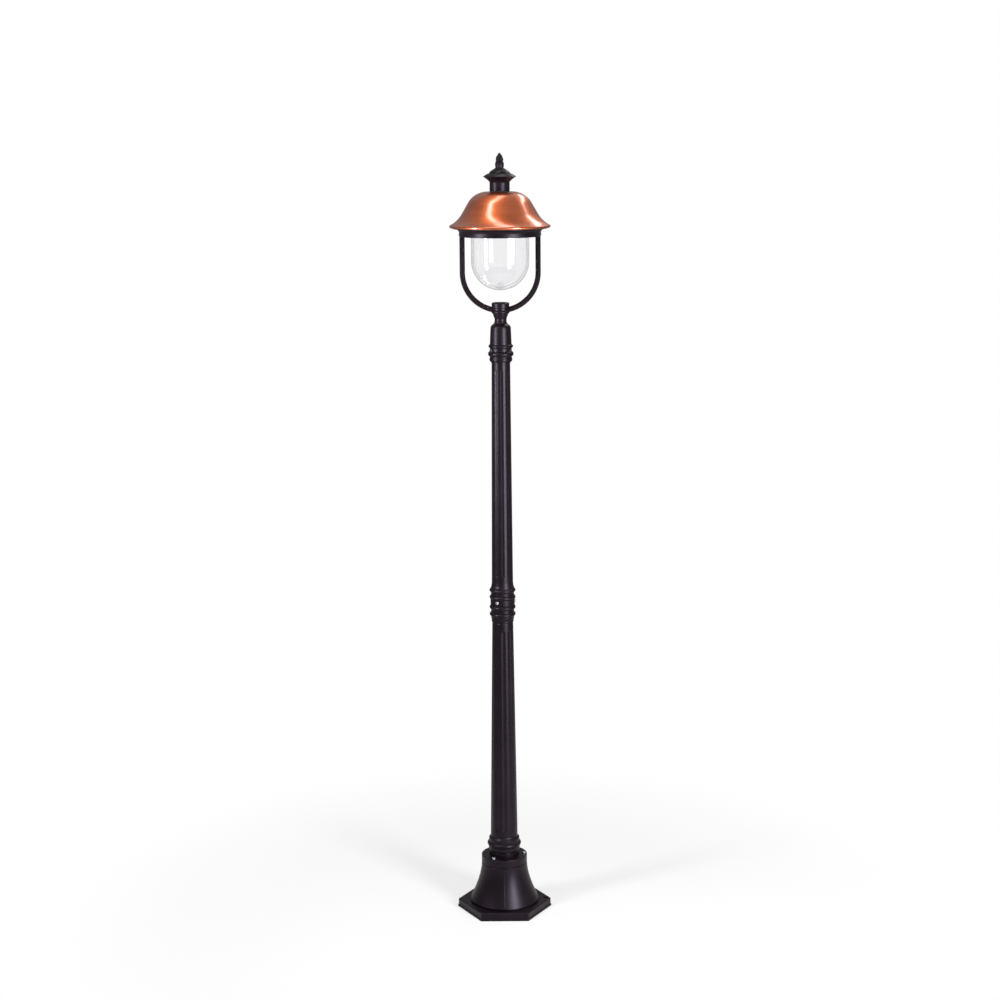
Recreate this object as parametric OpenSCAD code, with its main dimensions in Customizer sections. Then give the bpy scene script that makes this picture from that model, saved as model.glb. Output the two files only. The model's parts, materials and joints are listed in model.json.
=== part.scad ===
// Garden lamp post: a hexagonal cast foot, a two-piece fluted post, a U-shaped bracket and a
// lantern with a clear bell diffuser under a spun copper roof. Z is up, the foot stands on z = 0,
// and the bracket lies in the XZ plane.

/* [Base casting] */
// Distance from the centre of the foot to a corner of its lip
foot_corner_r = 126; // [120:1:140]
// Height of the hexagonal foot
foot_h = 22; // [18:0.5:30]
// Height of the lip round the bottom of the foot
foot_lip_h = 5; // [3:0.5:8]
// How far the lip stands out from the wall of the foot
foot_lip_step = 2; // [1:0.5:3]
// Bevel round the top edge of the foot
foot_bevel = 2; // [1:0.5:4]
// Radius of the bell where it meets the foot
bell_foot_r = 92; // [84:1:96]
// Radius of the bell at its top
bell_top_r = 60.5; // [58:0.5:66]
// Height of the bell above the foot
bell_h = 105; // [90:1:130]
// How late the bell flares out, as the power of its curve
bell_curve = 1.7; // [1.4:0.1:2.2]
// Height of the shadow groove under the bell
bell_groove_h = 2.5; // [1.5:0.5:4]
// Depth of that groove
bell_groove_d = 3; // [2:0.5:4]
// Wall of the base casting
base_wall = 5; // [4:0.5:7]
// Thickness of the plate that closes the bell
bell_plate = 12; // [9:0.5:16]
// Distance from a corner of the foot to the centre of the ground bolt there
anchor_inset = 16; // [15:0.5:18]
// Diameter of a ground bolt hole
anchor_hole_d = 11; // [8:0.5:12]
// Diameter of the boss round a ground bolt hole
anchor_boss_d = 21; // [18:0.5:22]
// Number of ground bolts, at every second corner or at every corner
anchor_count = 3; // [3, 6]

/* [Clamp collar] */
// Height of the collar that clamps the post to the bell
collar_h = 21.5; // [18:0.5:30]
// Open seam between the collar and the bell
collar_seam = 0.5; // [0.3:0.1:1]
// Groove cut round the lower edge of the collar
collar_groove = 1.5; // [0.5:0.5:2.5]
// Gap between the post and the hole in the collar
collar_gap = 1.5; // [1:0.25:3]
// Number of clamp screws
collar_screw_count = 3; // [3, 4, 6]
// Angle of the first clamp screw
collar_screw_turn = 238; // [0:1:359]

/* [Lower post] */
// Radius of the post where it passes the collar
post_lip_r = 38; // [37:0.5:40]
// How far the clamped flange stands out from the post
flange_over = 6; // [5:0.5:7]
// Thickness of the clamped flange
flange_h = 8; // [6:0.5:10]
// Height of the plain foot of the post above the flange
post_lip_h = 25; // [22:1:32]
// Radius of the neck over the plain foot
post_neck_r = 34; // [33:0.5:35]
// Height of that neck
post_neck_h = 4; // [3:0.5:6]
// Radius of the band below the large ring
base_band_r = 41.5; // [40:0.5:43]
// Height of that band
base_band_h = 10; // [8:0.5:12]
// Radius of the large ring
base_ring_r = 44.8; // [44:0.2:47]
// Height of the large ring
base_ring_h = 12; // [11:0.5:13]
// Radius of the band over the large ring
upper_band_r = 40.5; // [39.5:0.5:41.5]
// Height of the band over the large ring
upper_band_h = 10; // [8:0.5:12]
// Height of the cove from that band to the shaft
base_cove_h = 6; // [4:0.5:9]
// Radius of the lower shaft at its bottom
lower_bottom_r = 35.8; // [35:0.1:36.5]
// Radius of the lower shaft at its top
lower_top_r = 27.4; // [27:0.1:28]
// Length of the lower shaft
lower_len = 584; // [400:5:900]

/* [Post joint] */
// Radius of the four rings of the joint
joint_ring_r = 34; // [33.5:0.25:35]
// Height of each ring
joint_ring_h = 10; // [9:0.5:10.5]
// Radius between the rings
joint_core_r = 30.2; // [29.8:0.1:30.8]
// Distance between the two rings of a pair
joint_pitch = 18.6; // [18:0.2:20]
// Radius of the plain barrel between the pairs
joint_barrel_r = 31.6; // [31:0.2:32.5]
// Height of the barrel
joint_barrel_h = 14.5; // [13:0.5:18]
// Plain land below the seam of the joint
joint_land = 2.4; // [2:0.2:4]
// Height of the cove and the step between a pair of rings and its shaft
joint_cove_h = 19; // [16:0.5:24]
// Radius of the spigot on the lower post
spigot_r = 25.4; // [24.8:0.1:26]
// Length of the spigot
spigot_len = 44; // [30:1:60]
// Height of the joint screws over the seam
joint_screw_z = 8; // [7:0.5:9]
// Angle of the first joint screw
joint_screw_turn = 243; // [0:1:359]

/* [Upper post] */
// Radius of the upper shaft at its bottom
upper_bottom_r = 27.7; // [27.4:0.1:28]
// Radius of the upper shaft at its top
upper_top_r = 23.8; // [23.6:0.1:25]
// Length of the upper shaft
upper_len = 575; // [400:5:900]
// Wall of both posts behind their surface
post_wall = 5; // [4.5:0.1:5.5]
// Length of the spigot inside the neck
neck_spigot_len = 48; // [36:1:52]

/* [Flutes] */
// Number of flutes round the post
flute_count = 10; // [8:1:12]
// Depth of the flutes of the lower post
lower_flute_d = 2.8; // [1.8:0.1:3]
// Depth of the flutes of the upper post
upper_flute_d = 2.3; // [1.5:0.1:2.5]
// Radius of the tool that cuts the lower flutes
lower_flute_r = 10; // [8:0.2:11]
// Radius of the tool that cuts the upper flutes
upper_flute_r = 8; // [7:0.2:9]
// Plain length left at each end of a shaft
flute_margin = 14; // [10:1:40]
// Angle of the first flute
flute_turn = 273; // [0:1:359]

/* [Neck] */
// Radius of the neck body at its bottom
neck_bottom_r = 27.9; // [27.5:0.1:28.5]
// Radius of the neck body at its shoulder
neck_top_r = 26.2; // [25.8:0.1:27]
// Radius of the low ring
neck_low_ring_r = 29.4; // [29:0.1:30]
// Radius of the wide ring
neck_wide_ring_r = 33.1; // [32:0.1:34]
// Radius of the top ring
neck_top_ring_r = 31.4; // [30.8:0.1:32]
// Height of each ring of the neck
neck_ring_h = 9; // [8:0.5:10]
// Height of the neck from its seat on the post to its shoulder
neck_body_h = 90; // [84:1:110]
// Height of the cove over the shoulder
neck_cove_h = 17; // [15:0.5:20]
// Radius of the thin waist over the cove
waist_r = 15.3; // [14.5:0.1:16.5]
// Angle of the first neck screw
neck_screw_turn = 90; // [0:1:359]

/* [Bracket] */
// Height of the hub between the waist and the bracket
hub_h = 20; // [18:0.5:26]
// Radius of the ring of the hub
hub_ring_r = 23.7; // [23:0.1:25]
// Height of the ring of the hub
hub_ring_h = 6; // [5:0.5:7]
// Radius of the cheeks that hold the bar of the bracket
saddle_r = 20; // [18:0.5:22]
// Radius of the cap over the bar
hub_cap_r = 22.5; // [21:0.5:24]
// Height of the cap over the bar
hub_cap_h = 13.4; // [12:0.2:18]
// Width of the bar of the bracket, seen from the front
bar_w = 13.3; // [12.5:0.1:15]
// Depth of the bar of the bracket
bar_depth = 14; // [13:0.5:16]
// Bevel along the four edges of the bar
bar_bevel = 3.6; // [2:0.1:4]
// Radius of the middle of the bar in its half circle
bend_r = 96.15; // [92:0.05:100]
// Length of the straight arms over the half circle
arm_len = 91; // [80:1:130]

/* [Carrier ring] */
// Thickness of the carrier ring
carrier_t = 3; // [2.5:0.25:4]
// Height of the straight band of the carrier ring
carrier_band_h = 7; // [6:0.5:9]
// Radius of the flare over the band
carrier_flare = 12; // [10:0.5:13]
// How far the rim under the roof stands out from the band
carrier_rim = 18; // [14:0.5:19]
// How far the bosses of the arms rise over the straight band
arm_boss_rise = 11; // [11:0.5:14]

/* [Diffuser] */
// Gap between the arms of the bracket and the clear diffuser
diffuser_gap = 16; // [13.5:0.5:21.5]
// Wall of the diffuser
diffuser_wall = 3; // [2:0.25:4]
// Straight height of the diffuser below its flange
diffuser_straight = 66.5; // [50:0.5:80]
// How far the flange stands out
diffuser_flange = 6.5; // [5:0.5:8]
// Thickness of the flange
diffuser_flange_h = 3; // [2.5:0.25:4]
// Height of the moulding nub inside the bottom
nub_h = 3.5; // [2:0.5:5]
// Thickness of the gasket under the flange
gasket_h = 1.5; // [1:0.25:3]
// Number of clips that hold the flange
clip_count = 4; // [4, 8]

/* [Roof] */
// Thickness of the copper sheet
sheet_t = 1.2; // [0.8:0.1:2]
// Radius of the flat crown of the roof
crown_r = 26.5; // [26:0.5:32]
// Radius of the rounded shoulder
shoulder_r = 62; // [56:1:64]
// Steepest slope of the roof in degrees
roof_slope = 60; // [56:1:63]
// Radius of the hollow sweep to the rim
sweep_r = 56; // [54:1:60]
// Slope at the rim in degrees
rim_slope = 20; // [15:1:25]
// Radius of the rolled rim
rim_r = 3.5; // [3:0.1:4.5]
// How far the middle of the rolled rim stands out over the carrier ring
rim_over = 3.84; // [2.5:0.01:5]
// How far the rolled edge goes back under the roof
hem = 12; // [9:0.5:14]

/* [Chimney and finial] */
// Outer radius of the chimney collar
chimney_r = 25.4; // [24:0.2:26]
// Height of the chimney collar
chimney_h = 21.5; // [16:0.5:30]
// Wall of the chimney collar
chimney_wall = 3; // [2.5:0.25:4]
// Thickness of the seal under the chimney collar
seal_h = 1.5; // [1:0.25:3]
// Radius of the rim of the chimney cap
cap_rim_r = 41.5; // [38:0.5:46]
// Height of the rim over the chimney collar
cap_rim_z = 14; // [12:0.5:18]
// Height of the chimney cap
cap_h = 34; // [32:0.5:42]
// Wall of the chimney cap
cap_wall = 3.5; // [3:0.25:4]
// Radius of the foot of the finial
finial_foot_r = 12.9; // [12.5:0.1:15]
// Height of the finial
finial_h = 40; // [34:0.5:60]
// Largest radius of the leaf cup of the finial
calyx_r = 11.2; // [10:0.1:13]
// Largest radius of the twisted bud
bud_r = 9.8; // [8.8:0.1:12]
// Number of leaves round the cup
leaf_count = 6; // [5:1:9]
// Number of strands in the twisted bud
strand_count = 5; // [4:1:8]
// Twist of the bud in degrees
bud_twist = 150; // [0:5:240]

/* [Lampholder] */
// Width of the strip that carries the lampholder and pulls down the roof
bridge_w = 20; // [18:0.5:24]
// Thickness of that strip
bridge_t = 2; // [1.5:0.25:3]
// Depth of the top of the strip below the crown of the roof
bridge_drop = 17.13; // [15:0.01:24]
// Half length of the flat top of the strip
bridge_half = 50; // [46:1:50]
// Outer radius of the lampholder
holder_r = 22; // [21:0.5:26]
// Height of the lampholder
holder_h = 44; // [38:1:52]
// Radius of the screw shell for the lamp
shell_r = 13.3; // [13.2:0.05:13.6]
// Depth of the screw shell
shell_depth = 26; // [22:1:30]

/* [Fasteners and fits] */
// Radius of the hollow rod through the roof
rod_r = 5; // [4.5:0.25:6]
// Radius of the hollow stem through the hub and of the nipples in the arms
stem_r = 4; // [3.75:0.05:4.3]
// Radius of the cable way through rods, stem and bar
cable_r = 2.7; // [2.2:0.1:2.8]
// Radius of the clamp screws and the joint screws
screw_r = 3; // [2.5:0.25:3.5]
// Radius of the small screws in the lantern
small_screw_r = 2; // [1.75:0.05:2.25]
// Gap round turned parts that slide into each other
fit_gap = 0.15; // [0.1:0.05:0.25]
// Gap round a screw in its thread
thread_gap = 0.1; // [0.05:0.05:0.15]

/* [Hidden] */
$fn = 96;

black = [0.13, 0.12, 0.13];
steel = [0.72, 0.73, 0.75];
zinc = [0.78, 0.77, 0.72];
brass = [0.80, 0.65, 0.30];
copper = [0.72, 0.40, 0.25];
rubber = [0.10, 0.10, 0.10];
porcelain = [0.93, 0.92, 0.89];
silicone = [0.85, 0.85, 0.83];
acrylic = [0.92, 0.94, 0.95];
eps = 0.01;
curve_steps = 16;

bell_top_z = foot_h + bell_h;
foot_wall_r = foot_corner_r - foot_lip_step;
anchor_r = foot_corner_r - anchor_inset;
bell_edge_z = foot_h + bell_groove_h;
bell_bore_r = post_neck_r - post_wall;
grommet_lip = 4;
grommet_r = bell_bore_r - grommet_lip - fit_gap;
cable_hole_r = 8;

collar_z = bell_top_z + collar_seam;
collar_top_z = collar_z + collar_h;
flange_r = post_lip_r + flange_over;
collar_screw_r = (flange_r + bell_top_r) / 2;
collar_screw_len = collar_h + collar_seam + bell_plate - 2;
clamp_head_r = 5;
clamp_head_h = 4.6;
small_bevel = 1.5;

lip_top_z = bell_top_z + flange_h + post_lip_h;
band_z = lip_top_z + post_neck_h;
base_ring_z = band_z + base_band_h + base_ring_h / 2;
upper_band_z = base_ring_z + base_ring_h / 2;
lower_shaft_z = upper_band_z + upper_band_h + base_cove_h;
lower_shaft_top_z = lower_shaft_z + lower_len;

joint_z = lower_shaft_top_z + joint_cove_h + joint_pitch + joint_ring_h + joint_land;
ring_c_z = joint_z - joint_land - joint_ring_h / 2;
ring_d_z = ring_c_z - joint_pitch;
ring_b_z = joint_z + joint_barrel_h + joint_ring_h / 2;
ring_a_z = ring_b_z + joint_pitch;
upper_shaft_z = ring_a_z + joint_ring_h / 2 + joint_cove_h - 3;
sleeve_r = spigot_r + fit_gap;
set_screw_count = 3;
joint_seat_d = 1.2;
joint_seat_r = joint_barrel_r - joint_seat_d;
joint_head_r = 4.4;
joint_head_h = 3.2;

neck_z = upper_shaft_z + upper_len;
neck_bore_r = upper_top_r - 1.3;
neck_spigot_r = neck_bore_r - fit_gap;
neck_low_ring_z = neck_z + 4 + neck_ring_h / 2;
neck_wide_ring_z = neck_low_ring_z + neck_ring_h + 3.5;
neck_top_ring_z = neck_wide_ring_z + neck_ring_h * 2.4;
neck_shoulder_z = neck_z + neck_body_h;
waist_z = neck_shoulder_z + neck_cove_h;
neck_screw_z = (neck_wide_ring_z + neck_top_ring_z) / 2;
neck_plate = 20;
neck_taper_h = 10;

hub_top_z = waist_z + hub_h;
bar_z = hub_top_z + bar_w / 2;
hub_cap_z = hub_top_z + bar_w;
arm_z = bar_z + bend_r;
carrier_z = arm_z + arm_len;
nut_h = 5;
nut_r = 8;
stem_nut_z = waist_z - neck_plate - nut_h;
stem_bottom_z = stem_nut_z - 3;
stem_top_z = hub_cap_z + hub_cap_h - 4;
nipple_depth = 14;

carrier_floor_z = carrier_z + carrier_t;
carrier_band_r = bend_r + bar_w / 2;
diffuser_r = bend_r - bar_w / 2 - diffuser_gap;
carrier_bore_r = diffuser_r + 1;
flare_sweep = 75;
carrier_top_z = carrier_z + carrier_band_h + (carrier_flare + carrier_t) * sin(flare_sweep);
arm_boss_z = carrier_z + carrier_band_h + arm_boss_rise;
nipple_bottom_z = carrier_z - nipple_depth;
nipple_top_z = arm_boss_z + nut_h + 1;
flange_z = carrier_floor_z + gasket_h;
diffuser_centre_z = flange_z - diffuser_straight;
flange_edge_r = diffuser_r + diffuser_flange;
clip_screw_r = flange_edge_r + 7;
clip_t = 1.5;

rim_centre_r = carrier_band_r + carrier_rim + rim_over;
rim_centre_z = carrier_top_z + rim_r;
rim_arc_r = rim_centre_r + rim_r * sin(rim_slope);
rim_arc_z = rim_centre_z + rim_r * cos(rim_slope);
side_end_r = rim_arc_r - sweep_r * (sin(roof_slope) - sin(rim_slope));
side_end_z = rim_arc_z + sweep_r * (cos(rim_slope) - cos(roof_slope));
side_start_r = crown_r + shoulder_r * sin(roof_slope);
side_start_z = side_end_z + (side_end_r - side_start_r) * tan(roof_slope);
crown_z = side_start_z + shoulder_r * (1 - cos(roof_slope));

seal_w = 7;
chimney_z = crown_z + seal_h;
chimney_plate = 4;
cap_z = chimney_z + chimney_h;
finial_z = cap_z + cap_h;
rod_top_z = finial_z + finial_h * 0.35;

bridge_z = crown_z - bridge_drop;
bridge_foot_r = (flange_edge_r + carrier_band_r - carrier_t) / 2 + 1;
holder_boss_h = 10;
rod_nut_h = 6;
holder_z = bridge_z - bridge_t - rod_nut_h - holder_boss_h - holder_h;
holder_mouth = 3;
shell_t = 1.2;
contact_h = 3;
holder_ceiling_z = holder_z + holder_mouth + shell_depth + contact_h + 0.5;
rod_bottom_z = holder_z + holder_h;
terminal_w = 18;
terminal_h = 11;
terminal_y = 29;
terminal_screw_r = 2;
wire_r = 1.6;
wire_z = terminal_h * 0.4;
earth_y = -28;
cup_top = 0.42;

function arc(x, z, r, from, to, steps) =
    [for (i = [0:steps]) let (a = from + (to - from) * i / steps) [x + r * cos(a), z + r * sin(a)]];

// Radius of the round edge of a ring of height h that stands proud of the body behind it.
function bead_radius(h, proud) = (h * h / 4 + proud * proud) / (2 * proud);

function mix(a, b, t) = a + (b - a) * t;

module turned(points) {
    rotate_extrude() polygon(points);
}

// Outline of a ring that stands out to radius r. Its edge is an arc, or a half circle when
// the ring stands out further than half its height.
module bead(r, z, h, proud) {
    size = bead_radius(h, min(proud, h / 2));
    root = r - proud - 1;
    intersection() {
        translate([r - size, z]) circle(size);
        translate([root, z - h / 2]) square([proud + 1, h]);
    }
    if (proud > h / 2) translate([root, z - h / 2]) square([proud + 1 - h / 2, h]);
}

module ring_of(count, turn) {
    for (i = [0:count - 1]) rotate([0, 0, turn + i * 360 / count]) children();
}

// A screw along +Z with its head over z = 0, its shank below it and a hexagon socket.
module cap_screw(r, len, head_r, head_h) {
    difference() {
        union() {
            translate([0, 0, -len]) cylinder(r=r, h=len + head_h / 2);
            cylinder(r=head_r, h=head_h * 0.7);
            translate([0, 0, head_h * 0.7]) cylinder(r1=head_r, r2=head_r * 0.75, h=head_h * 0.3);
        }
        translate([0, 0, head_h * 0.4]) cylinder(r=r * 0.65, h=head_h, $fn=6);
    }
}

module nut(r, bore_r, h) {
    difference() {
        cylinder(r=r, h=h, $fn=6);
        translate([0, 0, -eps]) cylinder(r=bore_r, h=h + 2 * eps);
    }
}

module pipe(r, bore_r, h) {
    difference() {
        cylinder(r=r, h=h);
        translate([0, 0, -1]) cylinder(r=bore_r, h=h + 2);
    }
}

// Bell radius at height z: it leaves the top straight down and flares out with a power of the depth.
function bell_r(z) =
    let (depth = (bell_top_z - z) / (bell_top_z - bell_edge_z))
    mix(bell_top_r, bell_foot_r, pow(depth, bell_curve));

module base_casting() {
    bell_points = [for (i = [0:curve_steps])
        let (z = mix(bell_edge_z, bell_top_z, i / curve_steps)) [bell_r(z), z]];
    hollow_top_z = bell_top_z - bell_plate;
    groove_r = bell_foot_r - bell_groove_d;
    foot_wall = base_wall * 1.2;
    hollow_points = [for (i = [0:curve_steps])
        let (z = mix(bell_edge_z, hollow_top_z, i / curve_steps)) [bell_r(z) - base_wall, z]];
    color(black) difference() {
        union() {
            cylinder(r=foot_corner_r, h=foot_lip_h, $fn=6);
            cylinder(r=foot_wall_r, h=foot_h - foot_bevel, $fn=6);
            translate([0, 0, foot_h - foot_bevel])
                cylinder(r1=foot_wall_r, r2=foot_wall_r - foot_bevel, h=foot_bevel, $fn=6);
            turned(concat([[0, foot_h - base_wall], [groove_r, foot_h - base_wall],
                [groove_r, foot_h + bell_groove_h / 2]], bell_points, [[0, bell_top_z]]));
        }
        difference() {
            translate([0, 0, -1]) cylinder(r=foot_wall_r - foot_wall, h=foot_h - base_wall + 1, $fn=6);
            ring_of(anchor_count, 0) translate([anchor_r, 0, -2]) cylinder(d=anchor_boss_d, h=foot_h + 2);
        }
        turned(concat([[0, foot_h - base_wall - 1], [groove_r - base_wall, foot_h - base_wall - 1]],
            hollow_points, [[0, hollow_top_z]]));
        ring_of(anchor_count, 0) translate([anchor_r, 0, -1]) cylinder(d=anchor_hole_d, h=foot_h + 2);
        translate([0, 0, hollow_top_z - 1]) cylinder(r=grommet_r + fit_gap, h=bell_plate + 2);
        ring_of(collar_screw_count, collar_screw_turn)
            translate([collar_screw_r, 0, hollow_top_z - 1])
                cylinder(r=screw_r + thread_gap, h=bell_plate + 2);
    }
}

// Rubber grommet in the plate of the bell, where the supply cable enters the post.
module cable_grommet() {
    plate_bottom_z = bell_top_z - bell_plate;
    lip_z = plate_bottom_z - grommet_lip;
    color(rubber) turned([[cable_hole_r, lip_z], [grommet_r + grommet_lip, lip_z],
        [grommet_r + grommet_lip, plate_bottom_z], [grommet_r, plate_bottom_z],
        [grommet_r, bell_top_z - 1], [cable_hole_r, bell_top_z - 1]]);
}

module clamp_collar() {
    hole_r = post_lip_r + collar_gap;
    pocket_z = bell_top_z + flange_h;
    color(black) difference() {
        turned([[hole_r, collar_z], [bell_top_r - collar_groove, collar_z],
            [bell_top_r - collar_groove, collar_z + collar_groove],
            [bell_top_r, collar_z + collar_groove * 1.6], [bell_top_r, collar_top_z - small_bevel],
            [bell_top_r - small_bevel, collar_top_z], [hole_r, collar_top_z]]);
        translate([0, 0, collar_z - 1]) cylinder(r=flange_r + fit_gap * 2, h=pocket_z - collar_z + 1);
        ring_of(collar_screw_count, collar_screw_turn)
            translate([collar_screw_r, 0, collar_z - 1]) cylinder(r=screw_r + fit_gap * 2, h=collar_h + 2);
    }
}

module clamp_screws() {
    color(steel) ring_of(collar_screw_count, collar_screw_turn)
        translate([collar_screw_r, 0, collar_top_z])
            cap_screw(screw_r, collar_screw_len, clamp_head_r, clamp_head_h);
}

// One flute is the space of a round-ended tool that runs parallel to the slope of the shaft.
module flutes(low_z, low_r, high_z, high_r, tool_r, depth) {
    start_z = low_z + flute_margin + tool_r;
    end_z = high_z - flute_margin - tool_r;
    slope = atan((low_r - high_r) / (high_z - low_z));
    start_r = low_r - (start_z - low_z) * tan(slope);
    len = (end_z - start_z) / cos(slope);
    ring_of(flute_count, flute_turn)
        translate([start_r + (tool_r - depth) / cos(slope), 0, start_z]) rotate([0, -slope, 0])
            rotate_extrude($fn=48) union() {
                square([tool_r, len]);
                intersection() {
                    circle(tool_r);
                    translate([0, -tool_r]) square(tool_r);
                }
                translate([0, len]) intersection() {
                    circle(tool_r);
                    square(tool_r);
                }
            }
}

module lower_post() {
    step_r = lower_top_r + 1.4;
    groove_r = lower_top_r - 0.6;
    groove_z = lower_shaft_top_z + 1;
    step_z = lower_shaft_top_z + 4;
    step_top_z = lower_shaft_top_z + joint_cove_h * 0.45;
    spigot_top_z = joint_z + spigot_len;
    bore_top_r = lower_top_r - post_wall - 1;
    color(black) difference() {
        rotate_extrude() union() {
            polygon([[0, bell_top_z], [flange_r, bell_top_z], [flange_r, bell_top_z + flange_h],
                [post_lip_r, bell_top_z + flange_h], [post_lip_r, lip_top_z - small_bevel],
                [post_lip_r - small_bevel, lip_top_z], [post_neck_r, lip_top_z], [post_neck_r, band_z],
                [base_band_r - 1, band_z], [base_band_r, band_z + 1],
                [base_band_r, base_ring_z], [upper_band_r, base_ring_z],
                [upper_band_r, upper_band_z + upper_band_h - small_bevel],
                [upper_band_r - small_bevel, upper_band_z + upper_band_h],
                [lower_bottom_r + 1, lower_shaft_z - base_cove_h / 3],
                [lower_bottom_r, lower_shaft_z], [lower_top_r, lower_shaft_top_z],
                [groove_r, groove_z], [groove_r, step_z - 1], [step_r, step_z], [step_r, step_top_z],
                [joint_core_r, ring_d_z - joint_ring_h / 2 - 2], [joint_core_r, joint_z - joint_land],
                [joint_barrel_r, joint_z - joint_land], [joint_barrel_r, joint_z], [spigot_r, joint_z],
                [spigot_r, spigot_top_z - small_bevel], [spigot_r - small_bevel, spigot_top_z],
                [0, spigot_top_z]]);
            bead(base_ring_r, base_ring_z, base_ring_h, base_ring_r - upper_band_r);
            bead(joint_ring_r, ring_c_z, joint_ring_h, joint_ring_r - joint_core_r);
            bead(joint_ring_r, ring_d_z, joint_ring_h, joint_ring_r - joint_core_r);
        }
        flutes(lower_shaft_z, lower_bottom_r, lower_shaft_top_z, lower_top_r, lower_flute_r, lower_flute_d);
        translate([0, 0, bell_top_z - 1]) cylinder(r=bell_bore_r, h=lower_shaft_z - bell_top_z + 1);
        translate([0, 0, lower_shaft_z - eps])
            cylinder(r1=bell_bore_r, r2=bore_top_r, h=lower_len + 2 * eps);
        translate([0, 0, lower_shaft_top_z])
            cylinder(r=bore_top_r, h=spigot_top_z - lower_shaft_top_z + 1);
    }
}

module upper_post() {
    bore_r = upper_top_r - post_wall - 0.6;
    step_r = upper_bottom_r + 1;
    spigot_top_z = neck_z + neck_spigot_len;
    color(black) difference() {
        rotate_extrude() union() {
            polygon([[0, joint_z], [joint_barrel_r, joint_z],
                [joint_barrel_r, joint_z + joint_barrel_h], [joint_core_r, joint_z + joint_barrel_h],
                [joint_core_r, ring_a_z + 2], [step_r + 1.5, ring_a_z + joint_ring_h / 2 + 3],
                [step_r, ring_a_z + joint_ring_h / 2 + joint_cove_h * 0.4],
                [upper_bottom_r, upper_shaft_z], [upper_top_r, neck_z], [neck_spigot_r, neck_z],
                [neck_spigot_r, spigot_top_z - small_bevel], [neck_spigot_r - small_bevel, spigot_top_z],
                [0, spigot_top_z]]);
            bead(joint_ring_r, ring_b_z, joint_ring_h, joint_ring_r - joint_core_r);
            bead(joint_ring_r, ring_a_z, joint_ring_h, joint_ring_r - joint_core_r);
        }
        flutes(upper_shaft_z, upper_bottom_r, neck_z, upper_top_r, upper_flute_r, upper_flute_d);
        translate([0, 0, joint_z - 1]) cylinder(r=sleeve_r, h=spigot_len + 2);
        translate([0, 0, joint_z + spigot_len + 1 - eps])
            cylinder(r1=sleeve_r, r2=bore_r, h=sleeve_r - bore_r);
        translate([0, 0, joint_z]) cylinder(r=bore_r, h=spigot_top_z - joint_z + 1);
        ring_of(set_screw_count, joint_screw_turn)
            translate([0, 0, joint_z + joint_screw_z]) rotate([0, 90, 0]) {
                cylinder(r=screw_r + thread_gap, h=joint_barrel_r + 1);
                translate([0, 0, joint_seat_r]) cylinder(r=joint_head_r + 0.4, h=joint_seat_d + 1);
            }
    }
}

module joint_screws() {
    color(steel) ring_of(set_screw_count, joint_screw_turn)
        translate([0, 0, joint_z + joint_screw_z]) rotate([0, 90, 0]) translate([0, 0, joint_seat_r])
            cap_screw(screw_r, joint_seat_r - spigot_r - fit_gap, joint_head_r, joint_head_h);
}

module neck() {
    body_r = neck_bottom_r + 0.6;
    lip_r = neck_bottom_r - 2.5;
    plate_z = waist_z - neck_plate;
    hollow_r = neck_bore_r - 3;
    color(black) difference() {
        rotate_extrude() union() {
            polygon([[0, neck_z], [lip_r, neck_z], [lip_r, neck_z + 3],
                [body_r, neck_z + 5], [body_r, neck_top_ring_z - neck_ring_h / 2 - 4],
                [neck_bottom_r, neck_top_ring_z - neck_ring_h / 2],
                [neck_bottom_r, neck_top_ring_z + neck_ring_h / 2],
                [neck_top_r, neck_shoulder_z - 2], [neck_top_r - 0.6, neck_shoulder_z + 2],
                [neck_top_r - 2.4, neck_shoulder_z + 5],
                [waist_r + 5, neck_shoulder_z + 8], [waist_r + 2, neck_shoulder_z + 10.5],
                [waist_r + 0.6, neck_shoulder_z + 13.5], [waist_r, waist_z], [0, waist_z]]);
            bead(neck_low_ring_r, neck_low_ring_z, neck_ring_h, neck_low_ring_r - body_r + 0.4);
            bead(neck_wide_ring_r, neck_wide_ring_z, neck_ring_h, neck_wide_ring_r - body_r);
            bead(neck_top_ring_r, neck_top_ring_z, neck_ring_h, neck_top_ring_r - neck_bottom_r);
        }
        translate([0, 0, neck_z - 1]) cylinder(r=neck_bore_r, h=neck_spigot_len + 2);
        translate([0, 0, neck_z]) cylinder(r=hollow_r, h=plate_z - neck_z - neck_taper_h);
        translate([0, 0, plate_z - neck_taper_h - eps])
            cylinder(r1=hollow_r, r2=nut_r + 3, h=neck_taper_h + 2 * eps);
        translate([0, 0, plate_z - 1]) cylinder(r=stem_r + fit_gap, h=neck_plate + 2);
        ring_of(set_screw_count, neck_screw_turn) translate([0, 0, neck_screw_z]) rotate([0, 90, 0])
            cylinder(r=screw_r + thread_gap, h=neck_wide_ring_r);
    }
}

// Headless screws in the neck, with their sockets just below its surface.
module neck_screws() {
    tip = neck_spigot_r + fit_gap / 2;
    len = neck_bottom_r - tip;
    color(steel) ring_of(set_screw_count, neck_screw_turn)
        translate([0, 0, neck_screw_z]) rotate([0, 90, 0]) translate([0, 0, tip]) difference() {
            cylinder(r=screw_r, h=len);
            translate([0, 0, len / 2]) cylinder(r=screw_r * 0.55, h=len, $fn=6);
        }
}

// The space of the bar in its half circle, with a gap all round.
module bar_space(gap) {
    translate([0, 0, arm_z]) rotate([90, 0, 0]) rotate([0, 0, 180])
        rotate_extrude(angle=180) translate([bend_r - bar_w / 2 - gap, -bar_depth / 2 - gap])
            square([bar_w + 2 * gap, bar_depth + 2 * gap]);
}

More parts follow.
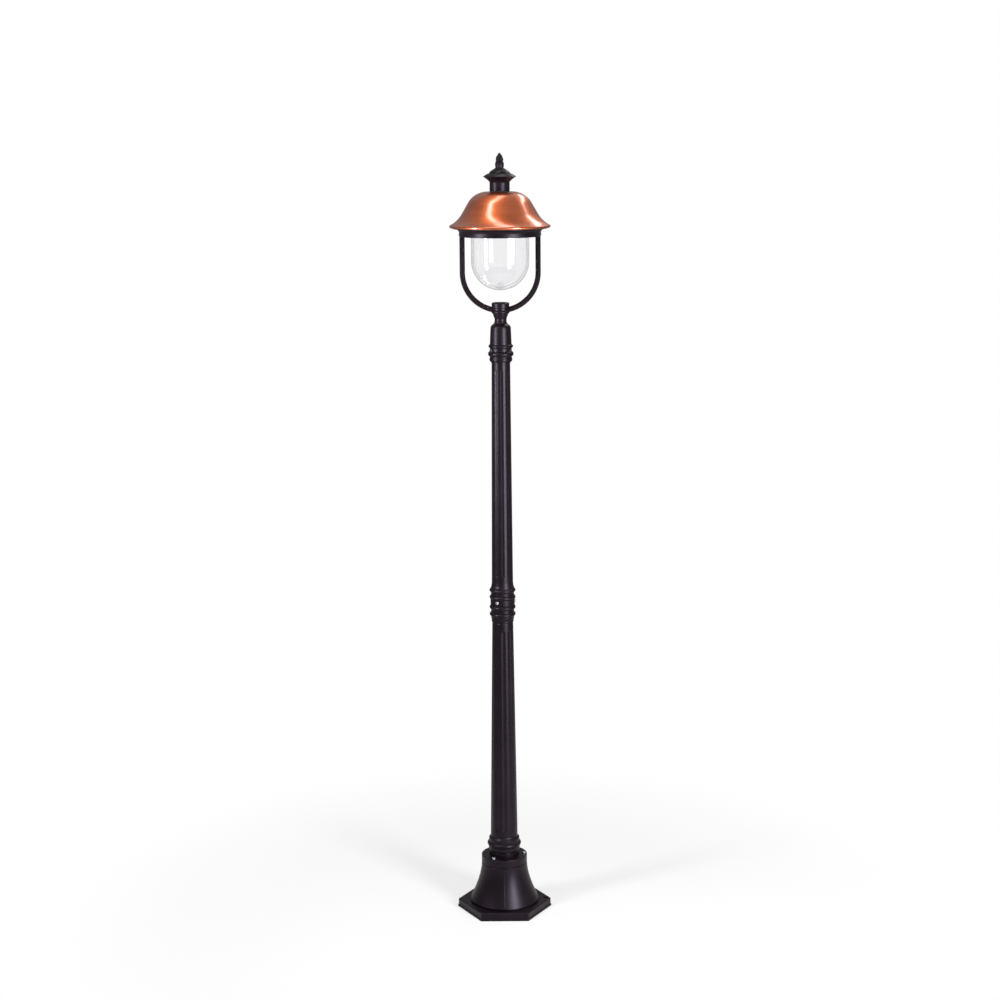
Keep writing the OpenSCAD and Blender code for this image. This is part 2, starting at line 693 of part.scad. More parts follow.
module hub() {
    ring_z = hub_top_z - hub_ring_h / 2;
    under_r = hub_ring_r - 3.4;
    color(black) difference() {
        rotate_extrude() union() {
            polygon([[0, waist_z], [waist_r, waist_z], [mix(waist_r, under_r, 0.35), waist_z + 6],
                [mix(waist_r, under_r, 0.7), waist_z + 11], [under_r, hub_top_z - hub_ring_h],
                [under_r, hub_top_z], [saddle_r, hub_top_z], [saddle_r, hub_cap_z], [0, hub_cap_z]]);
            bead(hub_ring_r, ring_z, hub_ring_h, hub_ring_r - under_r);
        }
        translate([0, 0, waist_z - 1]) cylinder(r=stem_r + fit_gap, h=hub_h + bar_w + 2);
        bar_space(fit_gap);
    }
}

module hub_stem() {
    color(zinc) difference() {
        translate([0, 0, stem_bottom_z]) pipe(stem_r, cable_r, stem_top_z - stem_bottom_z);
        translate([-stem_r * 2, 0, bar_z]) rotate([0, 90, 0]) cylinder(r=cable_r * 0.9, h=stem_r * 4);
    }
}

module stem_nut() {
    color(zinc) translate([0, 0, stem_nut_z]) nut(nut_r, stem_r + thread_gap, nut_h);
}

// Cap nut on the stem. Its underside is grooved for the bar, which rises to both sides.
module hub_cap() {
    top_z = hub_cap_z + hub_cap_h;
    bevel = 2;
    color(black) difference() {
        turned([[0, hub_cap_z], [hub_cap_r - 1, hub_cap_z], [hub_cap_r, hub_cap_z + 1],
            [hub_cap_r, top_z - bevel], [hub_cap_r - bevel, top_z], [0, top_z]]);
        translate([0, 0, hub_cap_z - 1])
            cylinder(r=stem_r + thread_gap, h=stem_top_z - hub_cap_z + 1 + fit_gap);
        bar_space(fit_gap);
    }
}

module bar_section() {
    w = bar_w / 2;
    d = bar_depth / 2;
    b = bar_bevel;
    polygon([[w, d - b], [w - b, d], [b - w, d], [-w, d - b],
        [-w, b - d], [b - w, -d], [w - b, -d], [w, b - d]]);
}

module bracket() {
    color(black) difference() {
        union() {
            translate([0, 0, arm_z]) rotate([90, 0, 0]) rotate([0, 0, 180])
                rotate_extrude(angle=180) translate([bend_r, 0]) bar_section();
            for (side = [-1, 1]) translate([side * bend_r, 0, arm_z]) linear_extrude(arm_len) bar_section();
        }
        translate([0, 0, arm_z]) rotate([90, 0, 0]) rotate([0, 0, 180])
            rotate_extrude(angle=180) translate([bend_r, 0]) circle(cable_r);
        for (side = [-1, 1]) translate([side * bend_r, 0, 0]) {
            translate([0, 0, arm_z]) cylinder(r=cable_r, h=arm_len + 1);
            translate([0, 0, nipple_bottom_z - 1]) cylinder(r=stem_r + thread_gap, h=nipple_depth + 2);
        }
        translate([0, 0, hub_top_z - 5]) cylinder(r=stem_r + fit_gap, h=bar_w + 10);
    }
}

// Hollow nipples that hold the arms to the carrier ring and let the wires through.
module arm_nipples() {
    color(zinc) for (side = [-1, 1])
        translate([side * bend_r, 0, nipple_bottom_z]) pipe(stem_r, cable_r, nipple_top_z - nipple_bottom_z);
}

module arm_nuts() {
    color(zinc) for (side = [-1, 1])
        translate([side * bend_r, 0, arm_boss_z]) rotate([0, 0, 30]) nut(nut_r, stem_r + thread_gap, nut_h);
}

// Places the diffuser clips between the arms and the feet of the bridge.
module clip_places() {
    ring_of(clip_count, 45) children();
}

module bridge_feet() {
    for (side = [90, 270]) rotate([0, 0, side]) translate([bridge_foot_r, 0, 0]) children();
}

module carrier_ring() {
    flare_r = carrier_band_r + carrier_flare;
    flare_z = carrier_z + carrier_band_h;
    rim_r_out = carrier_band_r + carrier_rim;
    tapped = carrier_t - 0.6;
    outer = arc(flare_r, flare_z, carrier_flare, 180, 180 - flare_sweep, 8);
    inner = arc(flare_r, flare_z, carrier_flare + carrier_t, 180 - flare_sweep, 180, 8);
    color(black) difference() {
        union() {
            turned(concat([[carrier_bore_r, carrier_z], [carrier_band_r - 0.6, carrier_z],
                [carrier_band_r, carrier_z + 0.6]], outer, [[rim_r_out, carrier_top_z - 1.6],
                [rim_r_out, carrier_top_z]], inner, [[carrier_band_r - carrier_t, carrier_floor_z],
                [carrier_bore_r, carrier_floor_z]]));
            intersection() {
                for (side = [-1, 1]) translate([side * bend_r, 0, carrier_z + 1])
                    cylinder(r=nut_r + 1, h=arm_boss_z - carrier_z - 1);
                translate([0, 0, carrier_z]) cylinder(r=carrier_band_r - 1, h=arm_boss_z - carrier_z);
            }
        }
        for (side = [-1, 1]) translate([side * bend_r, 0, carrier_z - 1])
            cylinder(r=stem_r + fit_gap, h=arm_boss_z - carrier_z + 2);
        clip_places() translate([clip_screw_r, 0, carrier_floor_z - tapped])
            cylinder(r=small_screw_r + thread_gap, h=tapped + 1);
        bridge_feet() translate([0, 0, carrier_floor_z - tapped])
            cylinder(r=small_screw_r + thread_gap, h=tapped + 1);
    }
}

module gasket() {
    inner_r = carrier_bore_r + 0.5;
    color(silicone) turned([[inner_r, carrier_floor_z], [flange_edge_r, carrier_floor_z],
        [flange_edge_r, flange_z], [inner_r, flange_z]]);
}

// Outline of one side of the bell, from its axis: a straight wall over a quarter circle.
module bell_side(r, top_z) {
    translate([0, diffuser_centre_z]) {
        square([r, top_z - diffuser_centre_z]);
        intersection() {
            circle(r);
            translate([0, -r]) square([r, r]);
        }
    }
}

// Clear bell with a flange round its mouth and a small moulding nub inside its bottom.
module diffuser() {
    inner_r = diffuser_r - diffuser_wall;
    top_z = flange_z + diffuser_flange_h;
    bottom_z = diffuser_centre_z - diffuser_r;
    color(acrylic) rotate_extrude() {
        difference() {
            union() {
                bell_side(diffuser_r, top_z);
                translate([0, flange_z]) square([flange_edge_r, diffuser_flange_h]);
            }
            bell_side(inner_r, top_z + 1);
        }
        polygon([[0, bottom_z + diffuser_wall / 2], [4.5, bottom_z + diffuser_wall / 2],
            [2.5, bottom_z + diffuser_wall + nub_h], [0, bottom_z + diffuser_wall + nub_h]]);
    }
}

// Bent clips that stand on the carrier ring and press on the flange of the diffuser.
module diffuser_clips() {
    tongue_z = flange_z + diffuser_flange_h;
    riser_r = flange_edge_r + 1.5;
    color(steel) clip_places() difference() {
        rotate([90, 0, 0]) linear_extrude(12, center=true) polygon([[flange_edge_r - 5, tongue_z],
            [riser_r, tongue_z], [riser_r, carrier_floor_z], [clip_screw_r + 5, carrier_floor_z],
            [clip_screw_r + 5, carrier_floor_z + clip_t], [riser_r + clip_t, carrier_floor_z + clip_t],
            [riser_r + clip_t, tongue_z + clip_t], [flange_edge_r - 5, tongue_z + clip_t]]);
        translate([clip_screw_r, 0, carrier_floor_z - 1]) cylinder(r=small_screw_r + fit_gap, h=clip_t + 2);
    }
}

module clip_screws() {
    color(steel) clip_places() translate([clip_screw_r, 0, carrier_floor_z + clip_t])
        cap_screw(small_screw_r, clip_t + carrier_t - 1, small_screw_r * 1.6, 2.4);
}

// Folded strip that stands on the carrier ring, carries the lampholder and holds the roof rod.
module bridge() {
    foot_in = flange_edge_r + 3;
    foot_out = bridge_foot_r + 6;
    lean = bridge_t * 1.2;
    low = carrier_floor_z;
    half = [[0, bridge_z], [bridge_half, bridge_z], [foot_in + lean, low + bridge_t],
        [foot_out, low + bridge_t], [foot_out, low], [foot_in, low],
        [bridge_half - lean, bridge_z - bridge_t], [0, bridge_z - bridge_t]];
    color(zinc) difference() {
        union() for (side = [0, 180]) rotate([0, 0, side]) rotate([90, 0, 90])
            linear_extrude(bridge_w, center=true) polygon(half);
        translate([0, 0, bridge_z - bridge_t - 1]) cylinder(r=rod_r + fit_gap, h=bridge_t + 2);
        bridge_feet() translate([0, 0, low - 1]) cylinder(r=small_screw_r + fit_gap, h=bridge_t + 2);
        translate([0, earth_y, bridge_z - bridge_t - 1]) cylinder(r=small_screw_r + fit_gap, h=bridge_t + 2);
    }
}

module bridge_screws() {
    color(steel) bridge_feet() translate([0, 0, carrier_floor_z + bridge_t])
        cap_screw(small_screw_r, bridge_t + carrier_t - 1, small_screw_r * 1.7, 2.6);
}

module lampholder() {
    bore_r = shell_r + shell_t + fit_gap * 2;
    boss_r = rod_r + 5;
    top_z = holder_z + holder_h;
    color(porcelain) difference() {
        turned([[0, holder_z], [holder_r - small_bevel, holder_z], [holder_r, holder_z + small_bevel],
            [holder_r, top_z - 8], [holder_r - 7, top_z - small_bevel], [boss_r, top_z],
            [boss_r, top_z + holder_boss_h], [0, top_z + holder_boss_h]]);
        translate([0, 0, holder_z - 1]) cylinder(r=bore_r, h=holder_ceiling_z - holder_z + 1);
        translate([0, 0, rod_bottom_z - fit_gap]) cylinder(r=rod_r + thread_gap, h=holder_h);
        translate([0, 0, holder_ceiling_z - 1]) cylinder(r=cable_r, h=holder_h);
    }
}

module screw_shell() {
    color(brass) translate([0, 0, holder_z + holder_mouth]) pipe(shell_r + shell_t, shell_r, shell_depth);
}

// Domed centre contact under the ceiling of the lampholder.
module lamp_contact() {
    contact_r = 4;
    low_z = holder_ceiling_z - contact_h;
    color(brass) turned([[0, low_z], [contact_r / 2, low_z + 0.4], [contact_r, low_z + 2],
        [contact_r, holder_ceiling_z], [0, holder_ceiling_z]]);
}

module terminal_block() {
    well_x = terminal_w / 4;
    color(porcelain) difference() {
        translate([-terminal_w / 2, terminal_y - terminal_w / 2, bridge_z])
            cube([terminal_w, terminal_w, terminal_h]);
        for (side = [-1, 1]) translate([side * well_x, terminal_y, bridge_z]) {
            translate([0, terminal_w, wire_z]) rotate([90, 0, 0]) cylinder(r=wire_r, h=terminal_w * 2);
            translate([0, 0, wire_z]) cylinder(r=terminal_screw_r + fit_gap, h=terminal_h);
        }
    }
}

module terminal_screws() {
    color(brass) for (side = [-1, 1])
        translate([side * terminal_w / 4, terminal_y, bridge_z + wire_z + wire_r]) difference() {
            cylinder(r=terminal_screw_r, h=3);
            translate([-terminal_screw_r - 1, -0.35, 2]) cube([2 * terminal_screw_r + 2, 0.7, 2]);
        }
}

module earth_screw() {
    color(brass) translate([0, earth_y, bridge_z])
        cap_screw(small_screw_r, bridge_t + 4, small_screw_r * 1.9, 3);
}

module roof_rod() {
    color(zinc) translate([0, 0, rod_bottom_z]) pipe(rod_r, cable_r, rod_top_z - rod_bottom_z);
}

module rod_nuts() {
    color(zinc) for (z = [bridge_z, bridge_z - bridge_t - rod_nut_h])
        translate([0, 0, z]) nut(nut_r + 1.5, rod_r + thread_gap, rod_nut_h);
}

// Outline of the copper sheet, inset by a depth from its outer face. The slope angle runs from 0 on
// the crown to the steepest side, back to the slope of the rim, and on round the rolled edge.
function roof_outline(inset) = concat(
    [[rod_r + fit_gap, crown_z - inset]],
    [for (i = [0:12]) let (a = roof_slope * i / 12)
        [crown_r + (shoulder_r - inset) * sin(a), crown_z - shoulder_r + (shoulder_r - inset) * cos(a)]],
    [for (i = [0:8]) let (a = mix(roof_slope, rim_slope, i / 8))
        [side_end_r + sweep_r * sin(roof_slope) - (sweep_r + inset) * sin(a),
        side_end_z + sweep_r * cos(roof_slope) - (sweep_r + inset) * cos(a)]],
    [for (i = [1:12]) let (a = mix(rim_slope, 180, i / 12))
        [rim_centre_r + (rim_r - inset) * sin(a), rim_centre_z + (rim_r - inset) * cos(a)]],
    [[rim_centre_r - hem, rim_centre_z - rim_r + inset]]);

function reversed(list) = [for (i = [len(list) - 1:-1:0]) list[i]];

module copper_roof() {
    color(copper) turned(concat(roof_outline(0), reversed(roof_outline(sheet_t))));
}

module roof_seal() {
    color(rubber) translate([0, 0, crown_z]) pipe(chimney_r - 0.4, chimney_r - seal_w, seal_h);
}

module chimney_collar() {
    color(black) difference() {
        translate([0, 0, chimney_z]) cylinder(r=chimney_r, h=chimney_h);
        translate([0, 0, chimney_z - 1])
            cylinder(r=chimney_r - chimney_wall, h=chimney_h - chimney_plate + 1);
        translate([0, 0, chimney_z]) cylinder(r=rod_r + fit_gap, h=chimney_h + 1);
    }
}

// Little hat: a cove under the rim, a brim that rounds over, and a dome that steepens as it leaves
// the foot of the finial.
module chimney_cap() {
    dome_r = 27;
    dome_h = 12;
    brim_r = dome_r + 1;
    brim_h = cap_h - dome_h - cap_rim_z;
    boss_r = rod_r + 4;
    hollow_r = chimney_r - cap_wall;
    hollow_top_z = finial_z - cap_wall - 1;
    cove = [for (i = [0:8]) let (t = i / 8)
        [mix(chimney_r, cap_rim_r, pow(t, 1.35)), cap_z + cap_rim_z * t]];
    brim = [for (i = [8:-1:0]) let (t = i / 8)
        [mix(brim_r, cap_rim_r, t), cap_z + cap_rim_z + brim_h * (1 - pow(t, 1.3)) + 0.6 * t]];
    dome = [for (i = [8:-1:0]) let (t = i / 8)
        [mix(dome_r, finial_foot_r, pow(1 - t, 1.65)), finial_z - dome_h * t]];
    color(black) difference() {
        turned(concat([[0, cap_z]], cove, brim, dome, [[0, finial_z]]));
        turned([[boss_r, cap_z - 1], [hollow_r, cap_z - 1], [hollow_r, cap_z + cap_h * 0.6],
            [finial_foot_r + 1, hollow_top_z], [boss_r, hollow_top_z]]);
        translate([0, 0, cap_z - 1]) cylinder(r=rod_r + fit_gap, h=cap_h + 2);
    }
}

// Radius of the finial at angle a and share t of its height. The leaf cup fills the lower part:
// its lobes open upwards and end in a waist. The bud over it is a rope of strands that wind
// round as they rise and draw in to the tip.
function finial_r(a, t) =
    t < 0.06 ? mix(finial_foot_r, calyx_r * 0.95, t / 0.06)
    : t < cup_top ? cup_r((t - 0.06) / (cup_top - 0.06), a)
    : bud_radius((t - cup_top) / (1 - cup_top), a);

function cup_r(u, a) =
    let (notch = 1 - sqrt(abs(cos(a * leaf_count / 2))))
    calyx_r * (0.9 + 0.1 * sin(180 * u)) * (1 - (0.03 + 0.17 * u) * notch);

function bud_radius(u, a) =
    let (rise = u < 0.2 ? 0.9 + 0.1 * sin(450 * u) : 1 - pow((u - 0.2) / 0.8, 2),
        groove = 1 - sqrt(abs(sin((a + bud_twist * u) * strand_count / 2))))
    bud_r * rise * (1 - 0.24 * groove);

module finial() {
    sides = 60;
    rows = 36;
    points = concat([[0, 0, finial_z]],
        [for (row = [0:rows - 1], i = [0:sides - 1])
            let (t = row / rows, a = i * 360 / sides, r = finial_r(a, t))
            [r * cos(a), r * sin(a), finial_z + finial_h * t]],
        [[0, 0, finial_z + finial_h]]);
    last = rows * sides + 1;
    faces = concat(
        [for (i = [0:sides - 1]) [0, 1 + i, 1 + (i + 1) % sides]],
        [for (row = [0:rows - 2], i = [0:sides - 1]) let (a = 1 + row * sides, j = (i + 1) % sides)
            [a + i, a + sides + i, a + j]],
        [for (row = [0:rows - 2], i = [0:sides - 1]) let (a = 1 + row * sides, j = (i + 1) % sides)
            [a + j, a + sides + i, a + sides + j]],
        [for (i = [0:sides - 1]) let (a = 1 + (rows - 1) * sides) [a + i, last, a + (i + 1) % sides]]);
    color(black) difference() {
        polyhedron(points, faces);
        translate([0, 0, finial_z - 1]) cylinder(r=rod_r + thread_gap, h=rod_top_z - finial_z + 1 + fit_gap);
    }
}

base_casting();
cable_grommet();
clamp_collar();
clamp_screws();
lower_post();
upper_post();
joint_screws();
neck();
neck_screws();
hub();
hub_stem();
stem_nut();
hub_cap();
bracket();
arm_nipples();
arm_nuts();
carrier_ring();
gasket();
diffuser();
diffuser_clips();
clip_screws();
bridge();
bridge_screws();
lampholder();
screw_shell();
lamp_contact();
terminal_block();
terminal_screws();
earth_screw();
roof_rod();
rod_nuts();
copper_roof();
roof_seal();
chimney_collar();
chimney_cap();
finial();
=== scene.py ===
# A garden lamp post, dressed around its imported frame. Shapes are in millimetres until a mesh is
# made of them. Shaders, lights, floor and camera are in metres.
import bpy
import bmesh
import json
import numpy as np
from math import cos, pi, radians, sin, tan
from mathutils import Matrix, Vector


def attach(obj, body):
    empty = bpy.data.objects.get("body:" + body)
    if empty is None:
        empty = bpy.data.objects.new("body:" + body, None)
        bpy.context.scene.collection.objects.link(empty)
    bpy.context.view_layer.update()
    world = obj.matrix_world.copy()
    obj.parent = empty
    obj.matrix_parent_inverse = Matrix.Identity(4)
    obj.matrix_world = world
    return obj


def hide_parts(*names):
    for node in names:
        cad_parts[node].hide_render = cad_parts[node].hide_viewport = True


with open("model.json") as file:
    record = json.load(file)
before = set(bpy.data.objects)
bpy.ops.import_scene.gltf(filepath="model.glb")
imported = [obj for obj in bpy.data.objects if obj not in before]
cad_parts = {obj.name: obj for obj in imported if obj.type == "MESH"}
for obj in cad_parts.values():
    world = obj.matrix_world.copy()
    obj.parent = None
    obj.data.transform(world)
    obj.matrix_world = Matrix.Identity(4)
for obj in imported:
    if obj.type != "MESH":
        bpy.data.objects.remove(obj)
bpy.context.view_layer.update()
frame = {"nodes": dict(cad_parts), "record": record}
nodes = frame["nodes"]
print("frame loaded with", len(nodes), "nodes")

mm = 0.001
fullTurn = 2 * pi


# ---- shader values and materials

# A node's output, as a number that varies over a surface. Its operators add Math nodes.
class Value:
    def __init__(self, graph, socket):
        self.graph, self.socket = graph, socket

    def maths(self, operation, other):
        return self.graph.node("Math", {"operation": operation}, {0: self, 1: other})

    def __add__(self, other): return self.maths("ADD", other)
    def __mul__(self, other): return self.maths("MULTIPLY", other)
    def __pow__(self, other): return self.maths("POWER", other)
    __radd__, __rmul__ = __add__, __mul__   # the number may stand first


# The nodes of a material or of the world.
class Graph:
    def __init__(self, tree, coordinates):
        self.tree = tree
        self.place = self.node("TexCoord", out=coordinates)
        split = self.node("SeparateXYZ", None, {0: self.place}).socket.node
        self.x, self.y, self.z = (Value(self, out) for out in split.outputs)

    # Adds one node: its settings first, then the values or links of its sockets.
    def node(self, kind, settings=None, sockets=None, out=0):
        made = self.tree.nodes.new("ShaderNode" + kind)
        for key, value in (settings or {}).items():
            setattr(made, key, value)
        for key, value in (sockets or {}).items():
            if isinstance(value, Value):
                self.tree.links.new(value.socket, made.inputs[key])
            else:
                made.inputs[key].default_value = value
        return Value(self, made.outputs[out])

    # Share of the way that a value has gone from low to high, eased at both ends.
    def share(self, value, low, high):
        return self.node("MapRange", {"interpolation_type": "SMOOTHSTEP"},
                         {"Value": value, "From Min": low, "From Max": high})

    # White for what the camera sees straight or through the bell, and a part of it for what metal
    # mirrors. A Mix Shader's factor stops at 1.
    def seenWhite(self):
        camera, mirrored, through = (self.node("LightPath", out=ray) for ray in
                                     ("Is Camera Ray", "Is Glossy Ray", "Is Transmission Ray"))
        return camera + mirrored * studio["mirrored"] + through

    def endWith(self, output, factor, first, second):
        both = self.node("MixShader", None, {0: factor, 1: first, 2: second})
        self.tree.links.new(both.socket, self.tree.nodes[output].inputs["Surface"])


# A material's nodes. Numbers that are the same all over go straight to the shader's own sockets.
class Finish(Graph):
    def __init__(self, name, constants):
        self.material = bpy.data.materials.new(name)
        self.material.use_nodes = True
        super().__init__(self.material.node_tree, "Object")
        self.shader = self.tree.nodes["Principled BSDF"]
        for socket, value in constants.items():
            self.shader.inputs[socket].default_value = value

    def feed(self, socket, value):
        self.tree.links.new(value.socket, self.shader.inputs[socket])

    # Distance from the post's axis: (x^2 + y^2) ^ 0.5.
    def radius(self):
        return (self.x * self.x + self.y * self.y) ** 0.5

    def vector(self, x, y, z):
        return self.node("CombineXYZ", None, {0: x, 1: y, 2: z})

    def noise(self, scale, detail, rough, vector=None):
        return self.node("TexNoise", None, {"Vector": vector or self.place, "Scale": scale,
                                            "Detail": detail, "Roughness": rough})

    def mixed(self, factor, first, second):
        return self.node("Mix", {"data_type": "RGBA"}, {0: factor, 6: first, 7: second}, 2)

    # A bump of some height in metres; a second one is laid over the first.
    def bump(self, height, distance, under=None):
        sockets = {"Height": height, "Distance": distance}
        if under is not None:
            sockets["Normal"] = under
        return self.node("Bump", None, sockets)


def rgb(red, green, blue):
    return (red, green, blue, 1)


# Satin black powder coat on cast metal: fine orange peel over the slow waves of the casting.
coat = {"colour": rgb(0.0036, 0.0014, 0.0028), "worn": rgb(0.0062, 0.0028, 0.0048),
        "wornStart": 0.42, "wornFull": 0.66, "cloudScale": 14, "speckScale": 2600,
        "rough": 0.38, "drift": 0.07, "ior": 1.28, "glint": rgb(0.91, 0.83, 1.0),
        "peelScale": 850, "peel": 0.00003, "waveScale": 45, "wave": 0.0002}


def blackCoat():
    f = Finish("blackCoat", {"IOR": coat["ior"], "Specular Tint": coat["glint"]})
    wave = f.noise(coat["waveScale"], 2, 0.5)
    peel = f.noise(coat["peelScale"], 3, 0.55)
    speck = f.noise(coat["speckScale"], 1, 0.5)
    cloud = f.noise(coat["cloudScale"], 3, 0.6)
    worn = f.share(cloud * 0.75 + speck * 0.25, coat["wornStart"], coat["wornFull"])
    f.feed("Base Color", f.mixed(worn, coat["colour"], coat["worn"]))
    f.feed("Roughness", cloud * coat["drift"] + peel * coat["drift"] + (coat["rough"] - coat["drift"]))
    f.feed("Normal", f.bump(peel, coat["peel"], f.bump(wave, coat["wave"])))
    return f.material


# Spun copper under a thin lacquer: turning marks run round the axis, and the tone drifts. The marks
# lean with the height, so that the steep flank has them too.
spun = {"colour": rgb(0.47, 0.090, 0.010), "deep": rgb(0.40, 0.070, 0.006),
        "pale": rgb(0.54, 0.145, 0.040), "rough": 0.40, "markRough": 0.10, "cloudRough": 0.08,
        "lacquerIor": 1.72, "lacquerRough": 0.18, "lacquerLeast": 0.8, "cloudScale": 16, "lean": 0.35,
        "fine": 1900, "fineSide": 9, "fineHeight": 0.000003,
        "broad": 240, "broadSide": 5, "broadHeight": 0.000015}


def spunCopper():
    s = spun
    f = Finish("spunCopper", {"Metallic": 1.0, "Coat Roughness": s["lacquerRough"],
                              "Coat IOR": s["lacquerIor"]})
    along = f.radius() + f.z * s["lean"]
    marks = lambda across, side: f.vector(along * across, f.x * side, f.y * side)
    fine = f.noise(1.0, 2, 0.6, marks(s["fine"], s["fineSide"]))
    broad = f.noise(1.0, 3, 0.6, marks(s["broad"], s["broadSide"]))
    cloud = f.noise(s["cloudScale"], 4, 0.6)
    tone = f.mixed(f.share(cloud * 0.6 + broad * 0.4, 0.36, 0.66), s["deep"], s["colour"])
    f.feed("Base Color", f.mixed(f.share(fine, 0.55, 0.85) * 0.5, tone, s["pale"]))
    least = s["rough"] - (s["markRough"] + s["cloudRough"]) / 2
    f.feed("Roughness", fine * s["markRough"] + cloud * s["cloudRough"] + least)
    f.feed("Coat Weight", f.share(cloud, 0.2, 0.7) * (1 - s["lacquerLeast"]) + s["lacquerLeast"])
    f.feed("Normal", f.bump(fine, s["fineHeight"], f.bump(broad, s["broadHeight"])))
    return f.material


acrylic = {"tint": rgb(0.945, 0.94, 0.95), "ior": 1.49, "rough": 0.035, "haze": 0.02,
           "hazeScale": 30, "waveScale": 22, "wave": 0.00001}


def clearAcrylic():
    f = Finish("clearAcrylic", {"Transmission Weight": 1.0, "IOR": acrylic["ior"],
                                "Base Color": acrylic["tint"]})
    haze = f.share(f.noise(acrylic["hazeScale"], 3, 0.6), 0.45, 0.8)
    f.feed("Roughness", haze * acrylic["haze"] + acrylic["rough"])
    f.feed("Normal", f.bump(f.noise(acrylic["waveScale"], 2, 0.5), acrylic["wave"]))
    return f.material


metal = {"cloudScale": 180, "ringRough": 0.12, "cloudRough": 0.10, "side": 30, "markHeight": 0.00002}


# A metal with turning marks round the axis of the part and small handling marks.
def turnedMetal(name, colour, tint, rough, marks):
    f = Finish(name, {"Metallic": 1.0})
    rings = f.noise(1.0, 2, 0.6, f.vector(f.radius() * marks, f.z * marks, f.x * metal["side"]))
    cloud = f.noise(metal["cloudScale"], 4, 0.6)
    f.feed("Base Color", f.mixed(f.share(cloud, 0.35, 0.7), colour, tint))
    f.feed("Roughness", rings * metal["ringRough"] + cloud * metal["cloudRough"] + rough)
    f.feed("Normal", f.bump(rings, metal["markHeight"]))
    return f.material


soft = {"cloudScale": 60, "drift": 0.12, "glazeRough": 0.06}


# Rubber, or porcelain with its glaze as a coat: fine grain under a tone that drifts.
def softFinish(name, colour, tint, rough, grain, height, glaze=0.0):
    f = Finish(name, {"Coat Roughness": soft["glazeRough"], "Coat Weight": glaze})
    cloud = f.noise(soft["cloudScale"], 4, 0.6)
    fine = f.noise(grain, 3, 0.6)
    f.feed("Base Color", f.mixed(f.share(cloud, 0.35, 0.7), colour, tint))
    f.feed("Roughness", fine * soft["drift"] + rough)
    f.feed("Normal", f.bump(fine, height))
    return f.material


finishes = {
    "black_coat": blackCoat(),
    "copper": spunCopper(),
    "clear_acrylic": clearAcrylic(),
    "stainless": turnedMetal("stainless", rgb(0.46, 0.46, 0.48), rgb(0.36, 0.36, 0.38), 0.27, 3200),
    "zinc_steel": turnedMetal("zincPlate", rgb(0.62, 0.62, 0.58), rgb(0.50, 0.49, 0.43), 0.26, 1500),
    "brass": turnedMetal("brass", rgb(0.72, 0.52, 0.20), rgb(0.58, 0.39, 0.14), 0.20, 2400),
    "porcelain": softFinish("porcelain", rgb(0.80, 0.79, 0.75), rgb(0.74, 0.73, 0.69),
                            0.20, 500, 0.00002, glaze=0.7),
    "silicone": softFinish("silicone", rgb(0.62, 0.62, 0.60), rgb(0.56, 0.56, 0.54),
                           0.55, 900, 0.00003),
    "black_rubber": softFinish("rubber", rgb(0.018, 0.018, 0.018), rgb(0.030, 0.029, 0.028),
                               0.62, 1100, 0.00004),
}
for entry in frame["record"]["subparts"]:
    nodes[entry["node"]].data.materials.clear()
    nodes[entry["node"]].data.materials.append(finishes[entry["material_slot"]])
print("finishes made:", len(finishes))


# ---- surfaces

# Rounds a profile's corners (r, z, radius). Each becomes an arc between two points that lie the
# radius over the tangent of half the corner's angle away, and a point beyond each, at most hold
# away, keeps the flat flat.
def rounded(corners, closed=False, steps=6, hold=0.25):
    table = np.array([tuple(c) + (0,) * (3 - len(c)) for c in corners], float)
    here, size = table[:, :2], table[:, 2]
    back, ahead = np.roll(here, 1, 0) - here, np.roll(here, -1, 0) - here
    backLen, aheadLen = np.linalg.norm(back, axis=1), np.linalg.norm(ahead, axis=1)
    back, ahead = back / backLen[:, None], ahead / aheadLen[:, None]
    if not closed:
        size[[0, -1]] = 0
    half = np.arccos(np.clip((back * ahead).sum(1), -1, 1)) / 2
    room = 0.45 * np.minimum(backLen, aheadLen)
    reach = np.minimum(size / np.tan(half), room)[:, None]
    start, end, weight = here + back * reach, here + ahead * reach, np.sin(half)[:, None, None]
    s = np.linspace(0, 1, steps)[None, :, None]
    bulge = 2 * weight * s * (1 - s)
    arcs = (1 - s) ** 2 * start[:, None] + bulge * here[:, None] + s ** 2 * end[:, None]
    arcs = arcs / ((1 - s) ** 2 + bulge + s ** 2)
    pad = np.where(size > 0, np.minimum(hold, room * 0.1), 0)[:, None]
    points = np.concatenate([(start + back * pad)[:, None], arcs, (end + ahead * pad)[:, None]], 1)
    points = points.reshape(-1, 2)
    far = np.linalg.norm(points - np.roll(points, 1, 0), axis=1) > 1e-4
    far[0] = far[0] or not closed
    return points[far]


# Points of an arc round (r, z), from one angle to another in degrees.
def arc(r, z, radius, start, end, steps):
    a = np.radians(np.linspace(start, end, steps))
    return list(zip(r + radius * np.cos(a), z + radius * np.sin(a)))


# Edge of a ring of height h that stands proud of its body: an arc through both of its corners and
# its top, or a half circle if it stands out further than half its height. It starts at the radius
# low and ends at the radius high.
def bead(r, z, h, proud, low=None, high=None, steps=15):
    size = (h * h / 4 + min(proud, h / 2) ** 2) / (2 * min(proud, h / 2))
    middle = r - size
    down = np.degrees(np.arccos(np.clip(((low or r - proud) - middle) / size, 0, 1)))
    up = np.degrees(np.arccos(np.clip(((high or r - proud) - middle) / size, 0, 1)))
    return arc(middle, z, size, -down, up, steps)


def evenAngles(count):
    return np.arange(count) * fullTurn / count


# Rows of radii at the angles a, each row at its own height: (r cos a, r sin a, z).
def roundGrid(r, a, z):
    return np.stack([r * np.cos(a), r * np.sin(a), np.repeat(np.reshape(z, (-1, 1)), len(a), 1)], -1)


